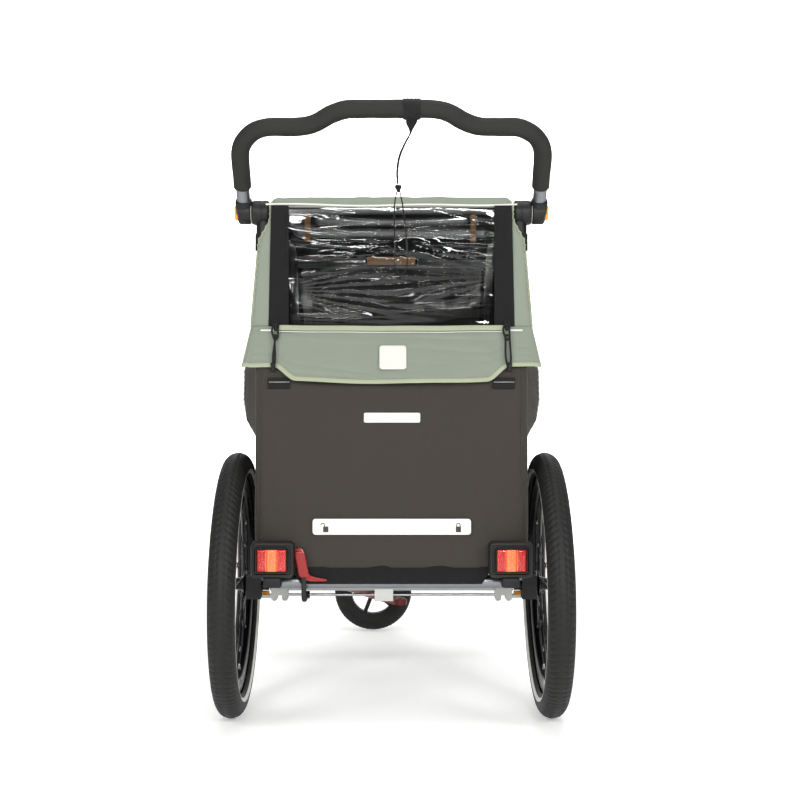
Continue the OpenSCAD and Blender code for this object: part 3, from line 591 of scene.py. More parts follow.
def bent_line(steps):
    """Middle line in a plane from (straight, bend radius, bend angle) steps: even walks along each straight, then
    an arc about the centre that lies square to the line at the bend's start."""
    at, turn, parts = np.zeros(2), 0.0, []
    for straight, radius, angle in steps:
        ahead = np.array([math.sin(turn), math.cos(turn)])
        parts.append(at + np.linspace(0, straight, max(2, int(straight / 4)))[:-1, None] * ahead)
        at = at + straight * ahead
        if angle:
            side = math.copysign(radius, angle)
            centre = at + side * np.array([math.cos(turn), -math.sin(turn)])
            a = turn + np.linspace(0, angle, max(3, int(abs(angle) * radius / 4)))
            arc = centre - side * np.stack([np.cos(a), -np.sin(a)], -1)
            parts.append(arc[:-1])
            at, turn = arc[-1], turn + angle
    parts.append(at[None])
    return np.concatenate(parts)


def bar_line(cut):
    """The handlebar's middle line in the row frame, with both legs shortened by cut."""
    leg = BAR_L - BAR_DROP - BAR_CORNER - cut
    run = LEG_X - BAR_CORNER - BAR_FLAT - BAR_RUN
    gap, s, r = BETWEEN_BENDS, 2 * SHOULDER, SHOULDER_R
    flat = bent_line([
        (leg, BAR_CORNER, math.pi / 2), (run, r, -s), (gap, r, s), (2 * BAR_FLAT, r, s), (gap, r, -s),
        (run, BAR_CORNER, math.pi / 2), (leg, 0, 0),
    ])
    along = (flat[:, 1] + cut) / 1000
    return PIVOT + np.column_stack([
        (flat[:, 0] - LEG_X) / 1000, -along * math.sin(BAR_TILT), along * math.cos(BAR_TILT)
    ])


def foam_grip():
    """Foam sleeve on the bar: a circle along the bar's line whose radius has slow dents and short creases on the
    inside of each bend, and rounds off at both ends."""
    path = bar_line(52)
    gone = np.concatenate([[0], np.cumsum(np.linalg.norm(np.diff(path, axis=0), axis=1))])
    even = np.linspace(0, gone[-1], 420)
    path = np.column_stack([np.interp(even, gone, path[:, k]) for k in range(3)])
    end = np.minimum(even, even[::-1])
    r = 0.0165 - 0.0035 * (1 - np.minimum(end / 0.004, 1)) ** 2
    a = np.linspace(0, 2 * math.pi, 36, endpoint=False)[None]
    dents = 0.00022 * np.sin(even[:, None] * 61 + 2 * a) + 0.00018 * np.sin(even[:, None] * 143 - 3 * a)
    nips = 0.0004 * creases(np.broadcast_to(even[:, None], dents.shape), np.broadcast_to(a, dents.shape), 4, 60,
        0.02, 0.5)
    piece = tube("foam_grip_skin", path, r[:, None] + dents - abs(nips), FOAM, 36,
        (0, math.cos(BAR_TILT), math.sin(BAR_TILT)))
    finish_piece(piece, "handlebar", "foam", "foam_grip")


def wrist_strap():
    """Webbing band round the foam, a twisted tongue, a flat cord to a knot, and the wrist loop below the knot."""
    def hang(points):
        return BAR_MID + np.column_stack([np.array(points)[:, 0], np.zeros(len(points)),
            np.array(points)[:, 1]]) / 1000

    lead_path = spline(hang([(35, -18), (33, -42), (23, -62), (14, -84), (10, -110), (11, -132)]), 60)
    loop_path = spline(hang([
        (9, -146), (5, -172), (5, -205), (6, -240), (6, -266), (9, -283), (17, -292), (25, -283), (28, -266),
        (27, -240), (24, -205), (20, -172), (15, -146),
    ]), 140)
    lead = tube("strap_lead", lead_path, 0.0022, WEBBING, 14, (0, 1, 0), 0.55, twist=np.linspace(0, 2.4, 60))
    loop = tube("strap_loop", loop_path, 0.0022, WEBBING, 14, (0, 1, 0), 0.55)
    x, a = grid(np.linspace(-0.015, 0.015, 24), np.linspace(0, 2 * math.pi, 64, endpoint=False))
    r = 0.0181 + 0.0005 * np.sin(3 * a) + 0.0003 * np.sin(x * 900 + a)
    lift = r - 0.0013 * (np.abs(x) > 0.0145)
    band = build("strap_band", np.stack([
        BAR_MID[0] + 0.036 + x + 0.001 * np.sin(a * 2), BAR_MID[1] + lift * np.cos(a), BAR_MID[2] + lift * np.sin(a)
    ], -1), WEBBING, (False, True))
    thicken(band, 0.0014)
    drop = np.linspace(0, 1, 30)
    tongue_path = BAR_MID + np.column_stack([0.036 - 0.003 * drop, -0.004 * np.sin(math.pi * drop),
        -0.0165 - 0.028 * drop])
    tongue = tube("strap_tongue", tongue_path, 0.0105 - 0.0075 * step(drop, 0.25, 1), WEBBING, 16, (1, 0, 0), 0.14,
                  twist=1.1 * drop)
    t = np.linspace(0, 2 * math.pi, 90, endpoint=False)
    knot_path = BAR_MID + [0.012, 0, -0.139] + 0.0016 * np.column_stack([
        np.sin(t) + 2 * np.sin(2 * t), -1.3 * np.sin(3 * t), 1.25 * (np.cos(t) - 2 * np.cos(2 * t))
    ])
    knot = tube("strap_knot", knot_path, 0.0019, WEBBING, 10, (0.3, 0.9, 0.2), closed=True)
    for piece in (lead, loop, band, tongue, knot):
        finish_piece(piece, "wrist_strap", "black_webbing")
    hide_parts("wrist_strap")


def pivot_hubs():
    """Ribbed moulded disc turned about the pivot line, with its collar down the post, on each side."""
    def hub(side):
        s = side_name(side)
        rim = [(0, 0), (18, 0), (20.5, 1), (22.4, 3), (23, 5.5), (23, 12), (22.2, 12.6), (22.2, 14.4), (23, 15),
               (23, 28), (22.2, 31), (20, 33.2), (17, 34), (13, 34), (12.4, 33), (0, 33)]
        disc = lathe(f"hub_disc_{s}", np.array(rim) / 1000, PIVOT + [side * 0.226, 0, 0], (side, 0, 0), BLACK, 80)
        neck_line = [(0, 0), (14, 0), (15.6, 1.2), (16, 3), (16, 30), (15, 33), (14.6, 38), (16, 43), (16, 46),
            (0, 46)]
        neck = lathe(f"hub_neck_{s}", np.array(neck_line) / 1000, PIVOT + [side * 0.2355, 0, -0.052], (0, 0, 1),
            BLACK, 64)
        cap = lathe(f"hub_cap_{s}", np.array([(0, 0), (7, 0), (7, 2), (5.5, 3.8), (2.5, 4.8), (0, 5)]) / 1000,
                    PIVOT + [side * 0.226, 0, 0], (-side, 0, 0), CHARCOAL, 40)
        dial = lathe(f"hub_mark_{s}", np.array([(20.2, 0), (20.2, 0.5), (21.4, 0.5), (21.4, 0)]) / 1000,
                     PIVOT + [side * 0.2593, 0, 0], (side, 0, 0), IVORY, 60, True)
        for piece in (disc, neck, cap, dial):
            finish_piece(piece, "rear_hoop", "black_plastic")
        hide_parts(f"pivot_hub_{s}")
        lug = np.array([(0, 0), (19, 0), (21.5, 1.5), (22, 4), (22, 18), (20.5, 22), (17, 24), (0, 24)]) / 1000
        socket = lathe(f"socket_disc_{s}", lug, PIVOT + [side * 0.2605, 0, 0], (side, 0, 0), BLACK, 80)
        up = np.array([0, -math.sin(BAR_TILT), math.cos(BAR_TILT)])
        sleeve_line = [(0, 0), (15.4, 0), (16, 2), (16, 22), (15.2, 24), (15.2, 26.6), (13.2, 28), (0, 28)]
        sleeve = lathe(f"socket_sleeve_{s}", np.array(sleeve_line) / 1000, PIVOT + [side * 0.273, 0, 0], up, BLACK,
            64)
        for piece in (socket, sleeve):
            finish_piece(piece, "handlebar", "black_plastic")
        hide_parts("handlebar_sockets")
    both(hub)


def release_buttons():
    """Long thumb button with a crowned face, on the outside of each socket."""
    def button(side):
        def turn(p):
            y, z = p[..., 1] - PIVOT[1], p[..., 2] - PIVOT[2]
            c, s = math.cos(BAR_TILT), math.sin(BAR_TILT)
            return np.stack([p[..., 0], PIVOT[1] + y * c - z * s, PIVOT[2] + y * s + z * c], -1)
        facing = "+X" if side > 0 else "-X"
        profile = [(0, 0), (0, 0.012), (0.0006, 0.0133), (0.0018, 0.0143), (0.0036, 0.0147)]
        piece = slab(f"button_{side_name(side)}", PIVOT + [side * 0.2773, 0, -0.001], (0.006, 0.015), 0.006, profile,
                     ORANGE, facing, turn)
        finish_piece(piece, f"button_{side_name(side)}", "orange_plastic", f"release_button_{side_name(side)}")
    both(button)


# ---- Wheels ----

SPOKES = 20
RIM_IN = 0.1845


def wheel_places(side, r, a, h):
    """Places in a wheel's frame: radius r at angle a about its axle, h out along the axle, which tips by the camber."""
    c, s = math.cos(CAMBER), math.sin(CAMBER)
    up, ahead = r * np.cos(a), r * np.sin(a)
    return np.stack([side * (WHEEL_X + h * c - up * s), AXLE_Y + ahead, AXLE_Z + up * c + h * s], -1)


def tyre(side):
    """Tyre skin: round section about the rim, whose crown is cut by slanting sipes and two rain grooves and whose
    walls carry two fine mould rings."""
    mid, half = WHEEL_R - TYRE_W / 2, TYRE_W / 2
    a, b = grid(np.linspace(0, 2 * math.pi, 960, endpoint=False), np.radians(np.linspace(-142, 142, 61)))
    wave = np.sin(120 * a + 5.5 * np.abs(b))
    crown = 1 - step(np.abs(b), math.radians(50), math.radians(62))
    sipes = 0.0011 * crown * step(wave, 0.35, 0.8) * step(np.abs(b), math.radians(6), math.radians(12))
    rain = 0.0012 * (hump(b, math.radians(20), 0.05) + hump(b, -math.radians(20), 0.05))
    rise = step(np.abs(b), math.radians(60), math.radians(66))
    shoulder = 0.0007 * rise * (1 - step(np.abs(b), math.radians(70), math.radians(76)))
    rings = 0.0006 * (hump(np.abs(b), math.radians(100), 0.03) + hump(np.abs(b), math.radians(128), 0.03))
    rho = np.minimum(half - sipes - rain + shoulder * 0.3 + rings * 0.5, half)
    places = wheel_places(side, mid + rho * np.cos(b), a, rho * np.sin(b))
    return build(f"tyre_skin_{side_name(side)}", places, TYRE, (True, False))


def rear_wheel(side):
    """Tyre, reflective rings, box-section rim with nipples, spokes from the frame, hub and valve."""
    s = side_name(side)
    body = f"wheel_{s}"
    axis = (side * math.cos(CAMBER), 0, math.sin(CAMBER))
    middle_of = (side * WHEEL_X, AXLE_Y, AXLE_Z)
    mid, half = WHEEL_R - TYRE_W / 2, TYRE_W / 2
    finish_piece(tyre(side), body, "tyre_rubber", f"tyre_{s}")
    for out in (-1, 1):
        a, b = grid(np.linspace(0, 2 * math.pi, 256, endpoint=False), np.radians(np.linspace(104, 122, 7)))
        rho = half + 0.0004
        ring = build(f"tyre_ring_{s}_{'out' if out > 0 else 'in'}",
                     wheel_places(side, mid + rho * np.cos(b), a, out * rho * np.sin(b)), TAPE, (True, False))
        thicken(ring, 0.0005)
        finish_piece(ring, body, "ivory_plastic")
    rim_line = [
        (202.5, -12.5), (202.5, -10.8), (199, -10.3), (197.5, -8), (193, -6.5), (193, 6.5), (197.5, 8), (199, 10.3),
        (202.5, 10.8), (202.5, 12.5), (199, 12.7), (192, 11.4), (186.5, 8), (184.5, 4), (184.5, -4), (186.5, -8),
        (192, -11.4), (199, -12.7),
    ]
    rim = lathe(f"rim_shell_{s}", np.array(rim_line) / 1000, middle_of, axis, RIM, 144, True)
    finish_piece(rim, body, "black_rim", f"rim_{s}")
    hub_line = [
        (6.1, -20), (12.5, -20), (14, -18.8), (24, -18.8), (26, -17.6), (26, -16.2), (24, -15.4), (15, -14), (12, -9),
        (11, 0), (12, 9), (15, 14), (24, 15.4), (26, 16.2), (26, 17.6), (24, 18.8), (14, 18.8), (12.5, 20), (6.1, 20),
    ]
    hub = lathe(f"hub_shell_{s}", np.array(hub_line) / 1000, middle_of, axis, RIM, 72, True)
    finish_piece(hub, body, "black_rim", f"wheel_hub_{s}")
    t, around = grid(np.linspace(0, 1, 5), np.linspace(0, 2 * math.pi, 8, endpoint=False))
    tips = 0.172
    r, radius = RIM_IN + (tips - RIM_IN) * t, 0.0026 - 0.0009 * t
    nipples = []
    for i in range(SPOKES):
        angle, out = 2 * math.pi * i / SPOKES, 1 - 2 * (i % 2)
        places = wheel_places(side, r, angle + radius * np.cos(around) / r, out * 0.002 + radius * np.sin(around))
        nipples.append(build(f"nipple_{s}_{i}", places, STEEL, (False, True), True))
    finish_piece(join(f"nipples_{s}", nipples), body, "steel_pin")
    valve_line = [(0, 0), (3.2, 0), (3.2, 10), (2.4, 12), (2.4, 24), (3.1, 25), (3.1, 31), (0, 32)]
    start, end = (wheel_places(side, np.array(r), np.array(2.2), np.array(0.0)) for r in (RIM_IN, 0.1))
    valve = lathe(f"valve_{s}", np.array(valve_line) / 1000, start, end - start, BLACK, 20)
    finish_piece(valve, body, "black_plastic")


def join(name, parts):
    """One mesh from several."""
    mesh = bmesh.new()
    for part in parts:
        mesh.from_mesh(part.data)
    made = bpy.data.meshes.new(name)
    mesh.to_mesh(made)
    mesh.free()
    made.materials.append(parts[0].data.materials[0])
    piece = bpy.data.objects.new(name, made)
    bpy.context.scene.collection.objects.link(piece)
    for part in parts:
        bpy.data.objects.remove(part)
    return piece


# ---- Sewn cabin ----

LEAN = math.radians(24)
PANEL = (PANEL_Y - AXLE_Y) * 1000
BACK = (BACK_Y - AXLE_Y) * 1000
TOP = (ROOF_Z - RAIL_Z) * 1000
SILL = (FLAP_TOP - RAIL_Z) * 1000
PANEL_TOP_UP = (PANEL_TOP - RAIL_Z) * 1000
WINDOW = 197
SLOPE_Y, SLOPE_Z = (300, 345, 392, 520, 633, 641), (661, 645, 580, 350, 128, 14)


def sewn(piece, width, held, rests_on, slot_name, *nodes, body="chassis"):
    """Makes a sheet a soft piece on its body and hides the nodes it stands for; the width is not used."""
    return finish_piece(piece, body, slot_name, *nodes, soft=True)


def rolled_sheet(spine, half, window, roll, skirt, lift=None):
    """Curved sheet of rows along a spine in the YZ plane. Across, it is flat to the half width less the roll, turns
    over by a quarter circle, and falls inward square to the spine by the skirt; lift pushes it outward."""
    spine, half = np.asarray(spine, float), np.asarray(half, float)[:, None]
    run = np.gradient(spine, axis=0)
    run /= np.linalg.norm(run, axis=1, keepdims=True)
    inward = np.stack([-run[:, 1], run[:, 0]], -1)
    t = np.linspace(0, 1, 9)[None, 1:]
    turn = t * math.pi / 2
    centre = np.broadcast_to(np.linspace(-window, window, 61), (len(spine), 61))
    edge_x = np.concatenate([
        window + (half - roll - window) * t, half - roll + roll * np.sin(turn), half + 0 * t
    ], 1)
    edge_d = np.concatenate([0 * half * t, roll * (1 - np.cos(turn)) + 0 * half, roll + skirt * t + 0 * half], 1)
    x = np.concatenate([-edge_x[:, ::-1], centre, edge_x], 1)
    depth = np.concatenate([edge_d[:, ::-1], 0 * centre, edge_d], 1)
    if lift is not None:
        depth = depth - lift(x, np.broadcast_to(np.arange(len(spine))[:, None], x.shape)) * np.exp(-depth / 12)
    return np.stack([x, spine[:, :1] + depth * inward[:, :1], spine[:, 1:] + depth * inward[:, 1:]], -1)


def window_mask(shape, rows):
    """True for the quads of a window's opening: its rows, between the columns at the window's two sides."""
    mask = np.zeros((shape[0] - 1, shape[1] - 1), bool)
    mask[rows[0]:rows[1], 24:84] = True
    return mask


def cover_spine():
    """The cover's middle line from the roof's front over the rear edge and down to the flap, with its half widths
    and the rows where the window starts and ends."""
    roof = spline([(302, TOP + 2), (200, TOP + 9), (100, TOP + 12), (0, TOP + 10), (-50, TOP + 8.5), (-74, TOP + 7.5),
                   (-84, TOP + 3), (-88.5, TOP - 5), (-89.5, TOP - 12)], 74)
    back = np.column_stack([np.linspace(-89.5, -91, 60), np.linspace(TOP - 12, SILL, 60)])[1:]
    spine = np.concatenate([roof, back])
    y, z = spine.T
    roof_half = np.interp(y, [-88, -20, 30, 302], [224, 224, 240, 240])
    back_half = np.interp(z, [SILL, TOP - 72, TOP - 36, TOP], [261, 247.5, 227, 224])
    return spine, np.where(np.arange(len(spine)) < 66, roof_half, back_half), (73, len(spine) - 1)


def cover():
    """Roof and rear frame of the cover in one sheet, with faint drag lines from its corners and two stitched
    channels down each side; a black sheet under the roof is painted shade for the cabin's dark inside."""
    spine, half, rows = cover_spine()
    def lift(x, row):
        drag = 1.1 * creases(x / 480, row / 134, 11, 26, 0.35, 0.02, (0.3, 0.7))
        side = np.abs(x)
        seams = 0.9 * (hump(side, half[row] * 0.93, 1.6) + hump(side, half[row] * 0.905, 1.6)) * (row > 70)
        return drag - seams + 2.5 * hump(row, 30, 26) * (1 - (x / 240) ** 2)
    places = rolled_sheet(spine, half, WINDOW, 15, 26, lift)
    sheet = build("cover_cloth", place(places), SAGE, holes=window_mask(places.shape, rows), outward=False)
    sewn(sheet, 0.52, "stretched", ["roof_bows", "rear_hoop"], "sage_fabric", "cover")
    thicken(sheet, 0.0012)
    # Black sheet under the roof: painted shade, dark cloth standing in for the shaded inside of the cabin.
    under = rolled_sheet(spine[:66] - [[0, 3.5]], half[:66] - 4, WINDOW, 15, 18)
    shade_sheet = build("cover_shade_sheet", place(under), BLACK_CLOTH, outward=False)
    sewn(shade_sheet, 0.5, "stretched", ["cover_cloth"], "black_webbing")
    thicken(shade_sheet, 0.0008)
    edge = rolled_sheet(spine, half, WINDOW, 15, 26)
    for side, column in ((-1, 12), (1, edge.shape[1] - 13)):
        path = edge[56:, column].copy()
        s = np.linspace(0, 1, len(path))
        fine = np.linspace(0, 1, 420)
        path = np.column_stack([np.interp(fine, s, path[:, k]) for k in range(3)])
        ruffle = 1.5 * np.sin(fine * 150) * (1 - 0.7 * fine) + 0.9 * np.sin(fine * 311 + 1)
        path[:, 0] += side * (1.2 + ruffle)
        path[:, 1] += 0.8 * np.sin(fine * 97)
        strip = tube(f"cover_edge_{side_name(side)}", place(path), 0.0026, BINDING, 10, (0, 1, 0.1), 0.5)
        finish_piece(strip, "chassis", "sage_fabric", soft=True)
    x = np.linspace(-231, 231, 120)
    sag = 1.6 * np.sin((x + 231) / 462 * math.pi) - 1.2 * np.sin(x / 37)
    piping = tube("roof_piping", place(np.column_stack([x, np.full(120, -91.0), TOP - 6.5 - sag])), 0.0017, TAPE,
        10, (0, 1, 0))
    finish_piece(piping, "chassis", "ivory_plastic", soft=True)


def flap_places(x, s, out=0.0):
    """Places on the flap: s below its top edge at its lean, a little proud of the cover, with out in millimetres
    square to it."""
    return np.stack([
        x, -91.5 - s * math.sin(LEAN) - out * math.cos(LEAN), SILL - s * math.cos(LEAN) + out * math.sin(LEAN)
    ], -1)


def flap_length(x):
    """The flap's length: shorter at both sides, an even curve down, and a shallow bow across the middle."""
    a = np.abs(x)
    return 78 + (27 + 6 * (1 - (np.minimum(a, 200) / 200) ** 2)) * (1 - step(a, 172, 214))


def flap():
    """Storm flap with its side capes: a sheet whose hem is cut lower in the middle, rolled forward at both sides."""
    e, t = np.linspace(-1, 1, 181), np.linspace(0, 1, 40)
    u, v = grid(t, e)
    half = 261 + 13 * u
    flat = half - 14
    over = np.clip((np.abs(v) - 0.86) / 0.14, 0, 1)
    x = np.sign(v) * np.where(np.abs(v) < 0.86, np.abs(v) / 0.86 * flat, flat + 14 * np.sin(over * math.pi / 2))
    s = u * flap_length(x)
    depth = 14 * (1 - np.cos(over * math.pi / 2)) + 22 * np.clip(over * 2 - 1, 0, 1)
    wave = 2.2 * u * np.sin(x / 33) + 1.2 * creases(x / 500, u, 5, 16, 0.3, 0.03, (0.0, 0.25))
    places = flap_places(x, s, wave * (over == 0))
    places[..., 1] += depth
    sheet = build("flap_cloth", place(places), SAGE, outward=False)
    sewn(sheet, 0.53, "hung", ["cover_cloth"], "sage_fabric", "rear_flap")
    thicken(sheet, 0.0014)
    hem_path = place(places[-1] - [0, 1.2, 0])
    hem = tube("flap_hem", hem_path, 0.0042, BINDING, 12, (0, -math.sin(LEAN), -math.cos(LEAN)), 0.35)
    finish_piece(hem, "chassis", "sage_fabric", soft=True)
    for side, column in ((-1, 6), (1, 174)):
        edge = places[:, column] + [side * 0.8, 0, 0]
        strip = tube(f"cape_edge_{side_name(side)}", place(edge), 0.0024, BINDING, 10, (0, 1, 0), 0.6)
        finish_piece(strip, "chassis", "sage_fabric", soft=True)
    x = np.linspace(-213, 213, 160)
    for name, s, width, material, half_x, thick in (
        ("flap_top_hem", 4.0, 0.0105, BINDING, 213, 0.003), ("flap_line", 12.0, 0.0016, TAPE, 206, 0.0012),
    ):
        xs = np.linspace(-half_x, half_x, 160)
        path = place(flap_places(xs, np.full(160, s) + 1.6 * np.sin((xs + 213) / 426 * math.pi),
            3.2 + 0.5 * np.sin(xs / 19)))
        piece = strap(name, path, width, thick, material, (0, -math.sin(LEAN), -math.cos(LEAN)))
        finish_piece(piece, "chassis", "sage_fabric" if material is BINDING else "ivory_plastic", soft=True)
    for side in (-1, 1):
        xs = side * np.linspace(216, 240, 12)
        path = place(flap_places(xs, np.full(12, 9.0), 2.4))
        dash = strap(f"cape_dash_{side_name(side)}", path, 0.0032, 0.0012, TAPE, (0, 0, 1))
        finish_piece(dash, "chassis", "ivory_plastic", soft=True)
    patch = flap_places(np.zeros(1), np.full(1, 65.0), 3.4)[0]
    def lean(p):
        return turned(p, place(patch), LEAN)
    corner = slab("flap_patch", place(patch) + [0.0025, 0, 0], (0.0245, 0.024), 0.006,
                  [(0, 0), (0, 0.0008), (0.0005, 0.0012)], TAPE, "-Y", lean)
    finish_piece(corner, "chassis", "ivory_plastic", soft=True)


def turned(p, origin, angle):
    """Places turned about the line along X through an origin, so that what faced back now faces back and up."""
    y, z = p[..., 1] - origin[1], p[..., 2] - origin[2]
    c, s = math.cos(angle), math.sin(angle)
    return np.stack([p[..., 0], origin[1] + y * c + z * s, origin[2] - y * s + z * c], -1)


def rear_window():
    """Clear pane that bellies out a little, pulled into long drag folds that fan from its corners, with a black
    strip of cloth down each side and a welt round it."""
    x, z = grid(np.linspace(-WINDOW, WINDOW, 260), np.linspace(SILL - 2, TOP - 11, 170))
    u, v = (x + WINDOW) / (2 * WINDOW), (z - SILL) / 220
    fan = np.arctan2(v - 0.42, 1.06 - u)
    fan_left = np.arctan2(v - 0.30, u + 0.05)
    folds = (
        2.0 * np.sin(fan * 30 + 2 * u) * step(u, 0.15, 0.75) * hump(fan, 0.05, 0.42)
        + 1.2 * np.sin(fan_left * 40 + 3 * u) * (1 - step(u, 0.3, 0.9)) * hump(fan_left, 0.0, 0.45)
        + 1.2 * creases(u, v, 3, 40, 0.20, 0.010, (-0.10, 0.06))
        + 0.35 * creases(u, v, 8, 70, 0.05, 0.007, (-0.2, 0.2))
        + 2.2 * np.sin(v * 9 + 1.4 * np.sin(u * 5)) * hump(v, 0.25, 0.35)
    )
    rim = step(u, 0, 0.06) * (1 - step(u, 0.94, 1)) * step(v, 0, 0.08) * (1 - step(v, 0.92, 1))
    y = -88.5 - (4 * np.sin(u * math.pi) * np.sin(np.clip(v, 0, 1) * math.pi) + folds) * rim
    pane = build("rear_pane", place(np.stack([x, y, z], -1)), VINYL, outward=False)
    sewn(pane, 0.394, "stretched", ["cover_cloth"], "clear_vinyl", "rear_window")
    for side in (-1, 1):
        t = np.linspace(0, 1, 60)
        a, b = grid(t, np.linspace(0, 1, 14))
        top, foot = (190, 221), (190, 226)
        xs = side * ((top[0] + (foot[0] - top[0]) * a) * (1 - b) + (top[1] + (foot[1] - top[1]) * a) * b)
        zs = TOP - 9 - a * (TOP - 9 - SILL)
        ys = -92.4 - 0.8 * np.sin(b * math.pi) - 0.5 * creases(b, a, 21 + side, 12, 0.3, 0.04, (0.3, 0.7))
        band = build(f"window_band_{side_name(side)}", place(np.stack([xs, ys, zs], -1)), BLACK_CLOTH, outward=False)
        sewn(band, 0.034, "stretched", ["cover_cloth"], "black_webbing")
        thicken(band, 0.0012)
        line = np.column_stack([np.full(60, side * 190.0) , np.full(60, -93.4), TOP - 9 - t * (TOP - 9 - SILL)])
        welt = tube(f"window_welt_{side_name(side)}", place(line), 0.0012, BLACK_CLOTH, 8)
        finish_piece(welt, "chassis", "black_webbing", soft=True)


def panel_y(z):
    """How far back the rear panel stands at a height above the rails: upright, then leaning in under the flap."""
    return np.minimum(-PANEL, 85 + (SILL - z) * math.tan(LEAN)) * -1


def rear_panel():
    """Rear wall of the bag: bellies out slightly, turns forward round each corner, and carries a dark band along its
    foot, a welt down each side seam, and stitched webbing tabs."""
    t, e = np.linspace(0, 1, 90), np.linspace(-1, 1, 121)
    v, u = grid(t, e)
    z = 2 + (SILL - 22) * v
    over = np.clip((np.abs(u) - 0.94) / 0.06, 0, 1)
    x = np.sign(u) * np.where(over == 0, np.abs(u) / 0.94 * 235.5, 235.5 + 12 * np.sin(over * math.pi / 2))
    belly = 3.0 * np.sin(v * math.pi) * (1 - (x / 240) ** 2) + 0.9 * creases(u, v, 14, 34, 0.5, 0.05, (0.3, 0.7))
    pull = 0.7 * np.sin(x / 17) * np.exp(-v / 0.06) + 0.8 * creases(u, v, 15, 14, 0.25, 0.03, (0.05, 0.3))
    y = panel_y(z) - np.maximum(belly + pull,
        -1.5) * (1 - step(v, 0.8, 0.95)) * (over == 0) + 12 * (1 - np.cos(over * math.pi / 2))
    sheet = build("panel_cloth", place(np.stack([x, y, z], -1)), GREY, outward=False)
    sewn(sheet, 0.48, "stretched", ["rear_cross_tube"], "warm_grey_fabric", "rear_panel")
    thicken(sheet, 0.0016)
    v, u = grid(np.linspace(0, 1, 16), np.linspace(-1, 1, 90))
    z = 6 - 34 * v
    y = PANEL + 1.5 - 3.5 * np.sin(v * math.pi) + 0.8 * np.sin(u * 40) * v
    half = 186 - 22 * v
    foot = build("panel_foot", place(np.stack([u * half, y, z], -1)), BLACK_CLOTH, outward=False)
    sewn(foot, 0.36, "stretched", ["panel_cloth"], "black_webbing")
    thicken(foot, 0.0016)
    for side in (-1, 1):
        zs = np.linspace(4, SILL - 30, 90)
        welt = tube(f"panel_welt_{side_name(side)}",
                    place(np.column_stack([np.full(90, side * 236.0), panel_y(zs) - 1.2, zs])), 0.0017, GREY, 8)
        finish_piece(welt, "chassis", "warm_grey_fabric", soft=True)
        xs = np.linspace(-20, 20, 20) + side * 203 - (side < 0) * 1
        path = place(np.column_stack([xs, np.full(20, PANEL - 3.4), np.full(20, 336.5)]))
        tab = strap(f"panel_tab_{side_name(side)}", path, 0.020, 0.0022, WEBBING, (0, 0, 1))
        finish_piece(tab, "chassis", "black_webbing", soft=True)
        stitches = []
        for k in range(12):
            xk = side * 203 - (side < 0) + np.linspace(-17.5 + 3.1 * k, -15.6 + 3.1 * k, 4)
            stitches.append(strap(f"stitch_{side}_{k}", place(np.column_stack([
                xk, np.full(4, PANEL - 4.9), np.full(4, 338.5)])), 0.0011, 0.0009, TAPE, (0, 0, 1)))
        row = join(f"tab_stitches_{side_name(side)}", stitches)
        finish_piece(row, "chassis", "ivory_plastic", soft=True)
    strip = slab("panel_strip", place((1, PANEL - 4.3, 274)), (0.051, 0.009), 0.003,
                 [(0, 0), (0, 0.0006), (0.0004, 0.0009)], TAPE)
    finish_piece(strip, "chassis", "ivory_plastic", soft=True)


def elbow(y, z):
    """How far the side wall stands out round the elbow, as the product of a swell along and a swell up."""
    along = step(y, -52, 52) * (1 - step(y, 300, 412))
    up = np.interp(z, [190, 212, 240, 268, 306, 362, 420, 462, 490], [0, 0.05, 0.5, 0.86, 1, 0.97, 0.66, 0.2, 0])
    return along * up


def shell_places(side, y, z, out=0.0):
    """Places on a side wall: near the post it stands clear of the tube, ahead of it it runs straight, it leans in
    towards the roof, and the elbow swell is added."""
    base = 242.5 + 5 * (1 - step(y, -30, 60)) + 1.5 * np.sin(math.pi * np.clip(z / 200, 0, 1))
    corner = np.clip((-104 - y) / 17, 0, 1)
    x = base - 12 * (1 - np.sqrt(1 - (0.98 * corner) ** 2)) + 44 * elbow(y, z) - 3 * step(z, 500, 660)
    return np.stack([side * (x + out), y, z], -1)


